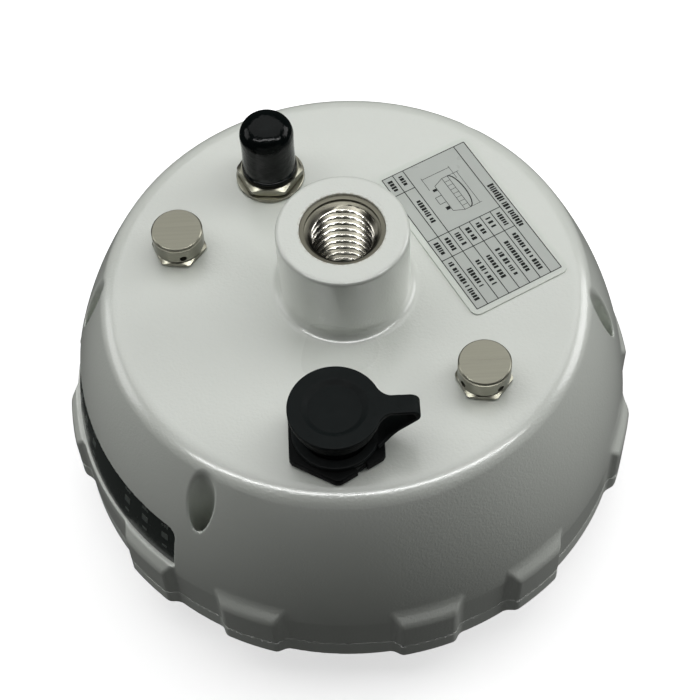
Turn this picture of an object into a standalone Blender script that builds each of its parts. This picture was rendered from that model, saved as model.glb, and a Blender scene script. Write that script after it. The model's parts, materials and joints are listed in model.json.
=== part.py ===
"""GNSS receiver, lying on its dome with the pole thread facing up.

Z runs up through the pole thread, and the origin is the lowest point of the dome. Azimuths are in degrees
around Z, with 0 at the front (-Y) and 90 at the right (+X). Sizes are in millimetres times MM.
"""

from math import cos, pi, radians, sin, sqrt

import bmesh
import bpy
from mathutils import Matrix, Vector

MM = 0.001
GAP = 0.3 * MM  # left between pieces that touch
ROUND_STEPS = 48  # sides of the large turned pieces
SMALL_STEPS = 20  # sides of the small turned pieces

# Overall shape
TOTAL_HEIGHT = 90.0 * MM
RIM_RADIUS = 69.0 * MM
RIM_BOTTOM_Z = 12.4 * MM
PARTING_Z = 18.0 * MM
FACE_Z = 68.5 * MM
WALL = 3.0 * MM

# Side wall: a cone with a slight bulge, ending in a fillet at the flat face
WALL_FOOT_Z = 30.0 * MM
WALL_FOOT_RADIUS = 67.0 * MM
WALL_HEAD_Z = 64.85 * MM
WALL_HEAD_RADIUS = 57.0 * MM
WALL_BULGE = 1.76 * MM
FACE_FILLET = 4.3 * MM
FACE_FILLET_END = 9.0  # angle at which the fillet meets the leaning wall
HOLLOW_WALL_Z = (34.0 * MM, 62.0 * MM)  # where the inside follows the side wall

# Teeth around the rim come in pairs, one pair to every 60 degrees
PAIR_COUNT = 6
PAIR_AZIMUTH = -34.85
TOOTH_OFFSET = 12.35
TOOTH_TIP_HALF = 5.4
TOOTH_ROOT_HALF = 7.0
TOOTH_TOP_Z = 28.7 * MM
TOOTH_RUNOUT_Z = 32.5 * MM
RECESS_RADIUS = 67.1 * MM
RIM_INNER_RADIUS = 63.5 * MM
GAP_CUTTER_Z = (8.0 * MM, 34.0 * MM)
CUTTER_REACH = 3.0 * MM  # how far a cutter stands out of the wall that it cuts

# Dome of the top cover
DOME_FLAT_RADIUS = 12.0 * MM
DOME_EDGE_RADIUS = 68.2 * MM
DOME_POWER = 1.9
COVER_WALL = 2.6 * MM
COVER_EDGE = 0.8 * MM
COVER_RADII = (66.0 * MM, 60.0 * MM, 50.0 * MM, 38.0 * MM, 25.0 * MM)
COVER_CORNER = (63.0 * MM, 14.5 * MM)  # foot of the inside of the cover's rim

# Seal between the two shells
SEAL_INNER = 64.6 * MM
SEAL_OUTER = 65.6 * MM
SEAL_BOTTOM_Z = 16.9 * MM

# Screw pockets: vertical bores that break out through the side wall
POCKET_AZIMUTHS = (-94.85, -34.85, 85.15, 145.15)
POCKET_CENTRE_RADIUS = 59.4 * MM
POCKET_RADIUS = 3.15 * MM
POCKET_COLUMN_RADIUS = 5.2 * MM
POCKET_FLOOR_Z = 24.1 * MM
SCREW_HOLE_RADIUS = 1.8 * MM
SCREW_SHANK_RADIUS = 1.45 * MM
SCREW_HEAD_RADIUS = 2.75 * MM
SCREW_HEAD_HEIGHT = 2.8 * MM
SCREW_TIP_Z = 12.6 * MM
COVER_BOSS_RADIUS = 4.6 * MM
POCKET_MOUTH_Z = 70.0 * MM

# Boss with the pole thread, 5/8 inch
BOSS_RADIUS = 14.9 * MM
BOSS_FOOT_FILLET = 1.6 * MM
BOSS_EDGE = 0.8 * MM
BOSS_BORE_RADIUS = 10.1 * MM
BOSS_BORE_FLOOR_Z = 68.0 * MM
INSERT_RADIUS = 9.8 * MM
INSERT_TOP_Z = 89.4 * MM
THREAD_MAJOR_RADIUS = 7.94 * MM
THREAD_MOUTH_RADIUS = 8.5 * MM

# Indicator window in the side wall
WINDOW_AZIMUTHS = (-96.3, -39.9)
WINDOW_Z = (31.6 * MM, 45.6 * MM)
WINDOW_RECESS = 1.8 * MM
WINDOW_INSET = 0.6 * MM
WINDOW_THICKNESS = 0.9 * MM
LED_AZIMUTHS = (-42.8, -48.6, -54.4, -69.8, -75.7, -81.6)
LED_Z = 40.4 * MM
LED_SIDE = 2.2 * MM
LED_HOLE_RADIUS = 1.95 * MM
LED_THICKNESS = 1.0 * MM
LED_DEPTH = 2.6 * MM  # of the light's centre under the wall
LIGHT_BOARD_DEPTH = 3.5 * MM
LIGHT_BOARD_THICKNESS = 0.8 * MM
LIGHT_BOARD_HALF_HEIGHT = 4.0 * MM

# Fittings on the flat face, as (x, y) of their axes
ANTENNA_AXIS = (-16.4 * MM, 32.2 * MM)
DATA_AXIS = (-3.6 * MM, -40.6 * MM)
VENT_AXES = {"left_vent": (-37.8 * MM, 12.1 * MM), "right_vent": (29.75 * MM, -27.8 * MM)}
VENT_TURN = -6.0
VENT_SIDE_HOLE_TURNS = {"left_vent": 12.0, "right_vent": 33.0}
ANTENNA_HOLE_RADIUS = 5.5 * MM
DATA_HOLE_RADIUS = 8.3 * MM
VENT_HOLE_RADIUS = 4.3 * MM

# Antenna connector and its pull-off cap
ANTENNA_BARREL_RADIUS = 5.1 * MM
ANTENNA_BARREL_TOP_Z = 80.5 * MM
ANTENNA_NUT_FLATS = 13.9 * MM
ANTENNA_NUT_Z = (69.7 * MM, 72.1 * MM)
ANTENNA_WASHER_RADIUS = 8.1 * MM
ANTENNA_BORE_RADIUS = 4.1 * MM
ANTENNA_BORE_FLOOR_Z = 65.0 * MM
ANTENNA_FLANGE_RADIUS = 7.4 * MM  # behind the wall
ANTENNA_FLANGE_Z = (62.0 * MM, 64.2 * MM)
ANTENNA_TAIL_RADIUS = 3.4 * MM
ANTENNA_TAIL_BORE = 2.3 * MM
ANTENNA_TAIL_Z = 57.5 * MM
ANTENNA_CAP_RADIUS = 6.3 * MM
ANTENNA_CAP_WALL = 0.85 * MM
ANTENNA_CAP_Z = (72.5 * MM, 88.3 * MM)
ANTENNA_CAP_ROUND = 4.2 * MM

# Vent plugs
VENT_FLATS = 11.4 * MM
VENT_HEX_TOP_Z = 70.8 * MM
VENT_CAP_RADIUS = 5.2 * MM
VENT_CAP_Z = (71.2 * MM, 76.4 * MM)
VENT_SIDE_HOLE_RADIUS = 0.85 * MM
VENT_SIDE_HOLE_COUNT = 4
VENT_SHANK_RADIUS = 4.0 * MM
VENT_SHANK_BOTTOM_Z = 60.5 * MM
VENT_NECK_RADIUS = 3.3 * MM
VENT_NECK_TOP_Z = 73.4 * MM
VENT_BORE_RADIUS = 2.2 * MM
VENT_CAP_BORE = 3.7 * MM
VENT_CAP_WALL = 1.2 * MM

# Data connector, its dust cap and the cap's strap
DATA_FLATS = 20.8 * MM
DATA_FLANGE_Z = (68.8 * MM, 71.0 * MM)
DATA_BARREL_RADIUS = 7.2 * MM
DATA_BORE_RADIUS = 6.0 * MM
DATA_BARREL_TOP_Z = 80.1 * MM
DATA_SHANK_RADIUS = 7.9 * MM
DATA_SHANK_BOTTOM_Z = 56.0 * MM
DATA_PIN_CIRCLE = 3.2 * MM
DATA_PIN_COUNT = 4
DATA_PIN_RADIUS = 0.6 * MM
DATA_PIN_Z = (57.0 * MM, 75.6 * MM)
DATA_CARRIER_Z = (60.0 * MM, 73.0 * MM)
DATA_GROOVE = (10.0 * MM, 8.5 * MM)
DATA_GROOVE_DEPTH = 1.1 * MM
DATA_NUT_FLATS = 19.0 * MM
DATA_NUT_BOTTOM_Z = 61.6 * MM
DUST_CAP_RADIUS = 10.2 * MM
DUST_CAP_Z = (80.4 * MM, 82.3 * MM)
DUST_CAP_SKIRT = (7.9 * MM, 9.0 * MM)
DUST_CAP_SKIRT_Z = 77.5 * MM
STRAP_WIDTH = 4.6 * MM
STRAP_THICKNESS = 1.1 * MM
STRAP_RING = (7.5 * MM, 9.7 * MM)
STRAP_RING_Z = (71.3 * MM, 72.6 * MM)
STRAP_BEND_X = 12.3 * MM  # centre of the strap's tight bend, where the dust cap turns
STRAP_BEND_Z = 79.95 * MM

# Name label on the flat face
LABEL_CENTRE = (29.85 * MM, 15.1 * MM)
LABEL_SIZE = (45.6 * MM, 25.7 * MM)
LABEL_TURN = -62.7
LABEL_CORNER = 2.0 * MM

# Electronics
BOARD_RADIUS = 50.0 * MM
BOARD_Z = (46.0 * MM, 47.6 * MM)
POST_AZIMUTHS = (-62.0, 20.0, 92.0, 172.0)
POST_CENTRE_RADIUS = 43.0 * MM
POST_RADIUS = 3.2 * MM
PLATE_RADIUS = 51.0 * MM
PLATE_Z = (22.0 * MM, 23.5 * MM)
SPACER_AZIMUTHS = (60.0, 180.0, -60.0)
SPACER_CENTRE_RADIUS = 36.0 * MM
SPACER_FLATS = 5.5 * MM
BOARD_SCREW_TOP_Z = 54.0 * MM
POST_PILOT_TOP_Z = 58.0 * MM

COLOURS = {
    "white_paint": ((0.80, 0.82, 0.78), 0.32, 0.0),
    "radome_plastic": ((0.82, 0.83, 0.80), 0.38, 0.0),
    "stainless_steel": ((0.55, 0.54, 0.50), 0.30, 1.0),
    "nickel": ((0.62, 0.60, 0.54), 0.25, 1.0),
    "brass": ((0.78, 0.60, 0.28), 0.30, 1.0),
    "black_vinyl": ((0.010, 0.011, 0.012), 0.18, 0.0),
    "black_rubber": ((0.016, 0.018, 0.018), 0.55, 0.0),
    "black_plastic": ((0.012, 0.013, 0.013), 0.40, 0.0),
    "smoked_plastic": ((0.03, 0.04, 0.035), 0.12, 0.0),
    "led_plastic": ((0.75, 0.78, 0.72), 0.40, 0.0),
    "label_film": ((0.46, 0.49, 0.46), 0.42, 0.0),
    "white_insulator": ((0.85, 0.85, 0.82), 0.50, 0.0),
    "circuit_board": ((0.02, 0.16, 0.07), 0.45, 0.0),
    "shield_metal": ((0.62, 0.62, 0.60), 0.35, 1.0),
    "ceramic": ((0.72, 0.66, 0.55), 0.55, 0.0),
    "aluminium": ((0.70, 0.71, 0.72), 0.35, 1.0),
    "cable_jacket": ((0.03, 0.03, 0.03), 0.45, 0.0),
    "zinc_steel": ((0.50, 0.50, 0.48), 0.35, 1.0),
}


def clear_scene():
    for obj in list(bpy.data.objects):
        bpy.data.objects.remove(obj, do_unlink=True)


def new_collection(name):
    collection = bpy.data.collections.new(name)
    bpy.context.scene.collection.children.link(collection)
    return collection


def make_materials():
    made = {}
    for name, (colour, roughness, metallic) in COLOURS.items():
        material = bpy.data.materials.new(name)
        material.use_nodes = True
        shader = material.node_tree.nodes["Principled BSDF"]
        shader.inputs["Base Color"].default_value = (*colour, 1.0)
        shader.inputs["Roughness"].default_value = roughness
        shader.inputs["Metallic"].default_value = metallic
        made[name] = material
    return made


clear_scene()
PARTS = new_collection("gnss_receiver")
CUTTERS = new_collection("cutters")
MATERIALS = make_materials()


# Building blocks


def place(name, mesh, material=None, at=(0.0, 0.0, 0.0), turn=0.0):
    """Makes an object of a mesh: a part when it has a material, and otherwise a hidden cutter."""
    obj = bpy.data.objects.new(name, mesh)
    obj.location = at
    obj.rotation_euler = (0.0, 0.0, radians(turn))
    if material:
        PARTS.objects.link(obj)
        mesh.materials.clear()
        mesh.materials.append(MATERIALS[material])
    else:
        CUTTERS.objects.link(obj)
        obj.hide_render = True
        obj.display_type = "WIRE"
    return obj


def polar(radius, azimuth, z=0.0):
    angle = radians(azimuth)
    return (radius * sin(angle), -radius * cos(angle), z)


def at_axis(axis, z=0.0):
    return (axis[0], axis[1], z)


def arc(centre, radius, start, end, count):
    """Points (r, z) on an arc, from the start to the end angle in degrees."""
    points = []
    for i in range(count + 1):
        angle = radians(start + (end - start) * i / count)
        points.append((centre[0] + radius * cos(angle), centre[1] + radius * sin(angle)))
    return points


def add_screw(obj, steps, angle=2.0 * pi):
    screw = obj.modifiers.new("turn", "SCREW")
    screw.axis = "Z"
    screw.angle = angle
    screw.steps = steps
    screw.render_steps = steps
    screw.use_merge_vertices = True
    screw.merge_threshold = 0.00001
    screw.use_smooth_shade = True
    return screw


def profile_mesh(name, profile, closed):
    """A chain of (r, z) points in the XZ plane."""
    mesh = bpy.data.meshes.new(name)
    form = bmesh.new()
    verts = [form.verts.new((r, 0.0, z)) for r, z in profile]
    for first, second in zip(verts, verts[1:]):
        form.edges.new((first, second))
    if closed:
        form.edges.new((verts[-1], verts[0]))
    form.to_mesh(mesh)
    form.free()
    return mesh


def turned(name, profile, material=None, axis=(0.0, 0.0), steps=SMALL_STEPS):
    """A solid of revolution. The profile runs down the outer side, then up the inner side or the axis."""
    on_axis = profile[0][0] == 0.0 and profile[-1][0] == 0.0
    obj = place(name, profile_mesh(name, profile, not on_axis), material, at_axis(axis))
    add_screw(obj, steps)
    return obj


def tube_profile(outer, inner, bottom, top):
    return [(outer, top), (outer, bottom), (inner, bottom), (inner, top)]


def rod_profile(radius, bottom, top):
    return [(0.0, top), (radius, top), (radius, bottom), (0.0, bottom)]


def prism(name, flats, bottom, top, axis, material=None, turn=0.0):
    """A hexagonal prism with one pair of flats facing front and back when turn is 0."""
    mesh = bpy.data.meshes.new(name)
    form = bmesh.new()
    height = top - bottom
    corner = flats / sqrt(3.0)
    bmesh.ops.create_cone(form, cap_ends=True, segments=6, radius1=corner, radius2=corner, depth=height)
    bmesh.ops.rotate(form, verts=form.verts, matrix=Matrix.Rotation(pi / 6.0, 3, "Z"))
    bmesh.ops.translate(form, verts=form.verts, vec=(0.0, 0.0, bottom + height / 2.0))
    form.to_mesh(mesh)
    form.free()
    return place(name, mesh, material, at_axis(axis), turn + 30.0)


def box(name, size, centre, material=None, turn=0.0):
    mesh = bpy.data.meshes.new(name)
    form = bmesh.new()
    bmesh.ops.create_cube(form, size=1.0)
    bmesh.ops.scale(form, verts=form.verts, vec=size)
    form.to_mesh(mesh)
    form.free()
    return place(name, mesh, material, centre, turn)


def plate(name, outline, bottom, top, material=None, at=(0.0, 0.0), turn=0.0):
    """A flat outline of (x, y) points, as a solid from bottom to top."""
    curve = bpy.data.curves.new(name, "CURVE")
    curve.dimensions = "2D"
    curve.fill_mode = "BOTH"
    curve.extrude = (top - bottom) / 2.0
    spline = curve.splines.new("POLY")
    spline.points.add(len(outline) - 1)
    spline.use_cyclic_u = True
    for point, (x, y) in zip(spline.points, outline):
        point.co = (x, y, 0.0, 1.0)
    return curve_to_part(name, curve, material, (at[0], at[1], (top + bottom) / 2.0), turn)


def curve_to_part(name, curve, material, location, turn=0.0):
    """Turns a curve into a mesh with its caps welded."""
    guide = bpy.data.objects.new(name + "_guide", curve)
    PARTS.objects.link(guide)
    bpy.context.view_layer.update()
    mesh = bpy.data.meshes.new_from_object(guide.evaluated_get(bpy.context.evaluated_depsgraph_get()))
    bpy.data.objects.remove(guide, do_unlink=True)
    form = bmesh.new()
    form.from_mesh(mesh)
    bmesh.ops.remove_doubles(form, verts=form.verts, dist=0.00001)
    bmesh.ops.recalc_face_normals(form, faces=form.faces)
    form.to_mesh(mesh)
    form.free()
    return place(name, mesh, material, location, turn)


def cable(name, points, radius, material="cable_jacket"):
    """A round cable on a smooth curve through the points."""
    curve = bpy.data.curves.new(name, "CURVE")
    curve.dimensions = "3D"
    curve.bevel_depth = radius
    curve.bevel_resolution = 1
    curve.use_fill_caps = True
    route = smooth_route([Vector(p) for p in points], 5)
    spline = curve.splines.new("POLY")
    spline.points.add(len(route) - 1)
    for point, where in zip(spline.points, route):
        point.co = (*where, 1.0)
    return curve_to_part(name, curve, material, (0.0, 0.0, 0.0))


def smooth_route(points, steps):
    """Catmull-Rom points through a list of points."""
    ends = [points[0] * 2.0 - points[1]] + points + [points[-1] * 2.0 - points[-2]]
    route = []
    for a, b, c, d in zip(ends, ends[1:], ends[2:], ends[3:]):
        for i in range(steps):
            t = i / steps
            cubic = (3.0 * (b - c) + d - a) * t**3
            square = (2.0 * a - 5.0 * b + 4.0 * c - d) * t**2
            route.append(b + 0.5 * (cubic + square + (c - a) * t))
    route.append(points[-1])
    return route


def combine(obj, other, operation):
    boolean = obj.modifiers.new(other.name, "BOOLEAN")
    boolean.operation = operation
    boolean.solver = "EXACT"
    boolean.object = other


def cut(obj, cutter):
    combine(obj, cutter, "DIFFERENCE")


def join(obj, other):
    combine(obj, other, "UNION")


# Shapes shared by the two shells


def wall_radius(z):
    """Outer radius of the side wall at height z, above the teeth."""
    share = (z - WALL_FOOT_Z) / (WALL_HEAD_Z - WALL_FOOT_Z)
    cone = WALL_FOOT_RADIUS + (WALL_HEAD_RADIUS - WALL_FOOT_RADIUS) * share
    return cone + WALL_BULGE * 4.0 * share * (1.0 - share)


def wall_points(top, bottom, count, inset=0.0):
    """Points down the side wall, moved inwards by the inset."""
    heights = [top + (bottom - top) * i / count for i in range(count + 1)]
    return [(wall_radius(z) - inset, z) for z in heights]


def wall_strip(name, azimuths, heights, inset, thickness, material=None, steps=18):
    """A curved strip that follows the side wall, from the inset to the inset plus the thickness."""
    outer = wall_points(heights[1], heights[0], 3, inset)
    inner = wall_points(heights[0], heights[1], 3, inset + thickness)
    mesh = bpy.data.meshes.new(name)
    form = bmesh.new()
    section = form.faces.new([form.verts.new((r, 0.0, z)) for r, z in outer + inner])
    angle = radians(azimuths[1] - azimuths[0])
    start = [section, *section.edges, *section.verts]
    bmesh.ops.spin(form, geom=start, cent=(0.0, 0.0, 0.0), axis=(0.0, 0.0, 1.0), angle=angle, steps=steps)
    bmesh.ops.recalc_face_normals(form, faces=form.faces)
    form.to_mesh(mesh)
    form.free()
    return place(name, mesh, material, turn=azimuths[0] - 90.0)


def dome_height(radius, lift=0.0):
    """Height of the dome's outer surface at a radius."""
    if radius <= DOME_FLAT_RADIUS:
        return lift
    share = (radius - DOME_FLAT_RADIUS) / (DOME_EDGE_RADIUS - DOME_FLAT_RADIUS)
    return lift + RIM_BOTTOM_Z * share**DOME_POWER


def recess_outline(half_tip, half_root):
    """Outline of one gap between two teeth, with sloping sides."""
    outside = RIM_RADIUS + CUTTER_REACH
    slope = (half_tip - half_root) / (RIM_RADIUS - RECESS_RADIUS)
    half_outside = half_root + slope * (outside - RECESS_RADIUS)
    inner = [polar(RECESS_RADIUS, half_root * (1.0 - i / 3.0))[:2] for i in range(7)]
    return [polar(outside, half_outside)[:2], *inner, polar(outside, -half_outside)[:2]]


def make_recess_cutters():
    """Cutters for the gaps inside each pair of teeth and between the pairs."""
    narrow = (TOOTH_OFFSET - TOOTH_TIP_HALF, TOOTH_OFFSET - TOOTH_ROOT_HALF)
    wide = (30.0 - TOOTH_OFFSET - TOOTH_TIP_HALF, 30.0 - TOOTH_OFFSET - TOOTH_ROOT_HALF)
    cutters = []
    for pair in range(PAIR_COUNT):
        for kind, halves, shift in (("narrow", narrow, 0.0), ("wide", wide, 30.0)):
            azimuth = PAIR_AZIMUTH + 60.0 * pair + shift
            name = f"cut_{kind}_gap_{pair + 1}"
            outline = recess_outline(*halves)
            cutters.append(plate(name, outline, *GAP_CUTTER_Z, turn=azimuth))
    return cutters


def at_pockets():
    return [polar(POCKET_CENTRE_RADIUS, azimuth)[:2] for azimuth in POCKET_AZIMUTHS]


def at_posts():
    return [polar(POST_CENTRE_RADIUS, azimuth)[:2] for azimuth in POST_AZIMUTHS]


# Shells


def housing_outline():
    fillet_radius = WALL_HEAD_RADIUS - FACE_FILLET * cos(radians(FACE_FILLET_END))
    fillet_centre = (fillet_radius, FACE_Z - FACE_FILLET)
    foot_centre = (BOSS_RADIUS + BOSS_FOOT_FILLET, FACE_Z + BOSS_FOOT_FILLET)
    return [
        (0.0, TOTAL_HEIGHT),
        (BOSS_RADIUS - BOSS_EDGE, TOTAL_HEIGHT),
        (BOSS_RADIUS, TOTAL_HEIGHT - BOSS_EDGE),
        *arc(foot_centre, BOSS_FOOT_FILLET, 180.0, 270.0, 2),
        *arc(fillet_centre, FACE_FILLET, 90.0, FACE_FILLET_END, 3),
        *wall_points(60.0 * MM, TOOTH_RUNOUT_Z, 5),
        (RIM_RADIUS, TOOTH_TOP_Z),
        (RIM_RADIUS, PARTING_Z + GAP / 2.0),
        (0.0, PARTING_Z + GAP / 2.0),
    ]


def housing_hollow_outline():
    return [
        (0.0, FACE_Z - WALL),
        (WALL_HEAD_RADIUS - WALL - 2.0 * MM, FACE_Z - WALL),
        *wall_points(HOLLOW_WALL_Z[1], HOLLOW_WALL_Z[0], 4, WALL),
        (RIM_INNER_RADIUS, TOOTH_TOP_Z),
        (RIM_INNER_RADIUS, PARTING_Z - 2.0 * MM),
        (0.0, PARTING_Z - 2.0 * MM),
    ]


def make_housing_hollow():
    """The inside of the lower housing, less the screw columns and the board posts."""
    hollow = turned("cut_housing_hollow", housing_hollow_outline(), steps=ROUND_STEPS)
    for i, axis in enumerate(at_pockets(), 1):
        column = rod_profile(POCKET_COLUMN_RADIUS, PARTING_Z + GAP / 2.0, FACE_Z + 1.0 * MM)
        cut(hollow, turned(f"keep_column_{i}", column, axis=axis))
    for i, axis in enumerate(at_posts(), 1):
        post = rod_profile(POST_RADIUS, BOARD_Z[1] + GAP, FACE_Z + 1.0 * MM)
        cut(hollow, turned(f"keep_post_{i}", post, axis=axis, steps=12))
    return hollow


def make_housing_holes():
    """Cutters for the bores, the window recess and the openings for the lights."""
    through = (FACE_Z - WALL - 1.0 * MM, FACE_Z + 1.0 * MM)
    bore = rod_profile(BOSS_BORE_RADIUS, BOSS_BORE_FLOOR_Z, TOTAL_HEIGHT + 1.0 * MM)
    holes = [turned("cut_boss_bore", bore, steps=36)]
    fittings = [("antenna", ANTENNA_AXIS, ANTENNA_HOLE_RADIUS), ("data", DATA_AXIS, DATA_HOLE_RADIUS)]
    fittings += [(name, axis, VENT_HOLE_RADIUS) for name, axis in VENT_AXES.items()]
    for name, axis, radius in fittings:
        holes.append(turned(f"cut_{name}_hole", rod_profile(radius, *through), axis=axis))
    for i, axis in enumerate(at_pockets(), 1):
        pocket = [
            (0.0, POCKET_MOUTH_Z),
            (POCKET_RADIUS, POCKET_MOUTH_Z),
            (POCKET_RADIUS, POCKET_FLOOR_Z),
            (SCREW_HOLE_RADIUS, POCKET_FLOOR_Z),
            (SCREW_HOLE_RADIUS, PARTING_Z - 1.0 * MM),
            (0.0, PARTING_Z - 1.0 * MM),
        ]
        holes.append(turned(f"cut_pocket_{i}", pocket, axis=axis))
    for i, axis in enumerate(at_posts(), 1):
        pilot = rod_profile(1.5 * MM, BOARD_Z[1] - 1.0 * MM, POST_PILOT_TOP_Z)
        holes.append(turned(f"cut_post_pilot_{i}", pilot, axis=axis, steps=10))
    depth = CUTTER_REACH + WINDOW_RECESS
    holes.append(wall_strip("cut_window", WINDOW_AZIMUTHS, WINDOW_Z, -CUTTER_REACH, depth))
    for i, azimuth in enumerate(LED_AZIMUTHS, 1):
        hole = turned(f"cut_light_hole_{i}", rod_profile(LED_HOLE_RADIUS, -WALL, WALL), steps=12)
        hole.location = polar(wall_radius(LED_Z) - 2.4 * MM, azimuth, LED_Z)
        hole.rotation_euler = (radians(90.0), 0.0, radians(azimuth))
        holes.append(hole)
    return holes


def make_lower_housing(recess_cutters):
    housing = turned("lower_housing", housing_outline(), "white_paint", steps=ROUND_STEPS)
    cut(housing, make_housing_hollow())
    for cutter in recess_cutters + make_housing_holes():
        cut(housing, cutter)


def cover_outline():
    return [
        (0.0, PARTING_Z - GAP / 2.0),
        (RIM_RADIUS, PARTING_Z - GAP / 2.0),
        (RIM_RADIUS, RIM_BOTTOM_Z + COVER_EDGE),
        (DOME_EDGE_RADIUS, RIM_BOTTOM_Z),
        *[(radius, dome_height(radius)) for radius in COVER_RADII],
        (DOME_FLAT_RADIUS, 0.0),
        (0.0, 0.0),
    ]


def cover_hollow_outline():
    return [
        (0.0, PARTING_Z + 1.0 * MM),
        (COVER_CORNER[0], PARTING_Z + 1.0 * MM),
        COVER_CORNER,
        *[(radius, dome_height(radius, COVER_WALL)) for radius in COVER_RADII[1:]],
        (DOME_FLAT_RADIUS, COVER_WALL),
        (0.0, COVER_WALL),
    ]


def make_top_cover(recess_cutters):
    cover = turned("top_cover", cover_outline(), "radome_plastic", steps=ROUND_STEPS)
    hollow = turned("cut_cover_hollow", cover_hollow_outline(), steps=ROUND_STEPS)
    for i, axis in enumerate(at_pockets(), 1):
        boss = rod_profile(COVER_BOSS_RADIUS, 2.0 * MM, PARTING_Z - GAP / 2.0)
        cut(hollow, turned(f"keep_cover_boss_{i}", boss, axis=axis))
    cut(cover, hollow)
    groove = tube_profile(SEAL_OUTER + GAP, SEAL_INNER - GAP, SEAL_BOTTOM_Z - GAP, PARTING_Z + 1.0 * MM)
    cut(cover, turned("cut_seal_groove", groove, steps=ROUND_STEPS))
    for i, axis in enumerate(at_pockets(), 1):
        pilot = rod_profile(SCREW_HOLE_RADIUS, SCREW_TIP_Z - 0.5 * MM, PARTING_Z + 1.0 * MM)
        cut(cover, turned(f"cut_cover_pilot_{i}", pilot, axis=axis, steps=12))
    for cutter in recess_cutters:
        cut(cover, cutter)


def make_housing_seal():
    ring = tube_profile(SEAL_OUTER, SEAL_INNER, SEAL_BOTTOM_Z, PARTING_Z - 0.05 * MM)
    turned("housing_seal", ring, "black_rubber", steps=ROUND_STEPS)


def make_housing_screws():
    head_bottom = POCKET_FLOOR_Z + GAP
    head_top = head_bottom + SCREW_HEAD_HEIGHT
    for i, axis in enumerate(at_pockets(), 1):
        outline = [
            (0.0, head_top),
            (SCREW_HEAD_RADIUS - 0.3 * MM, head_top),
            (SCREW_HEAD_RADIUS, head_top - 0.3 * MM),
            (SCREW_HEAD_RADIUS, head_bottom),
            (SCREW_SHANK_RADIUS, head_bottom),
            (SCREW_SHANK_RADIUS, SCREW_TIP_Z),
            (0.0, SCREW_TIP_Z),
        ]
        screw = turned(f"housing_screw_{i}", outline, "zinc_steel", axis, 12)
        cut(screw, prism(f"cut_screw_socket_{i}", 2.5 * MM, head_top - 1.5 * MM, head_top + 1.0 * MM, axis))


def make_thread_insert():
    """Stainless insert, plain inside at the thread's major diameter."""
    bottom = BOSS_BORE_FLOOR_Z + GAP
    outline = [
        (INSERT_RADIUS, INSERT_TOP_Z),
        (INSERT_RADIUS, bottom),
        (THREAD_MAJOR_RADIUS, bottom),
        (THREAD_MAJOR_RADIUS, INSERT_TOP_Z - 1.2 * MM),
        (THREAD_MOUTH_RADIUS, INSERT_TOP_Z),
    ]
    turned("thread_insert", outline, "stainless_steel", steps=36)


# Indicator window


def make_indicators():
    low, high = WINDOW_AZIMUTHS
    edge = 0.35
    heights = (WINDOW_Z[0] + GAP, WINDOW_Z[1] - GAP)
    window = (low + edge, high - edge)
    wall_strip("indicator_window", window, heights, WINDOW_INSET, WINDOW_THICKNESS, "smoked_plastic")
    board = (low + 7.0, high - 0.5)
    span = (LED_Z - LIGHT_BOARD_HALF_HEIGHT, LED_Z + LIGHT_BOARD_HALF_HEIGHT)
    depths = (LIGHT_BOARD_DEPTH, LIGHT_BOARD_THICKNESS)
    wall_strip("indicator_board", board, span, *depths, "circuit_board", 14)
    for i, azimuth in enumerate(LED_AZIMUTHS, 1):
        centre = polar(wall_radius(LED_Z) - LED_DEPTH, azimuth, LED_Z)
        size = (LED_SIDE, LED_THICKNESS, LED_SIDE)
        box(f"status_led_{i}", size, centre, "led_plastic", azimuth)


def rounded_rectangle(width, height, radius, steps=3):
    points = []
    for corner, (sx, sy) in enumerate(((1, 1), (-1, 1), (-1, -1), (1, -1))):
        centre = (sx * (width / 2.0 - radius), sy * (height / 2.0 - radius))
        points += arc(centre, radius, 90.0 * corner, 90.0 * corner + 90.0, steps)
    return points


def make_label():
    outline = rounded_rectangle(*LABEL_SIZE, LABEL_CORNER)
    bottom = FACE_Z + GAP / 2.0
    plate("name_label", outline, bottom, bottom + 0.2 * MM, "label_film", LABEL_CENTRE, LABEL_TURN)


# Antenna connector


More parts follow.
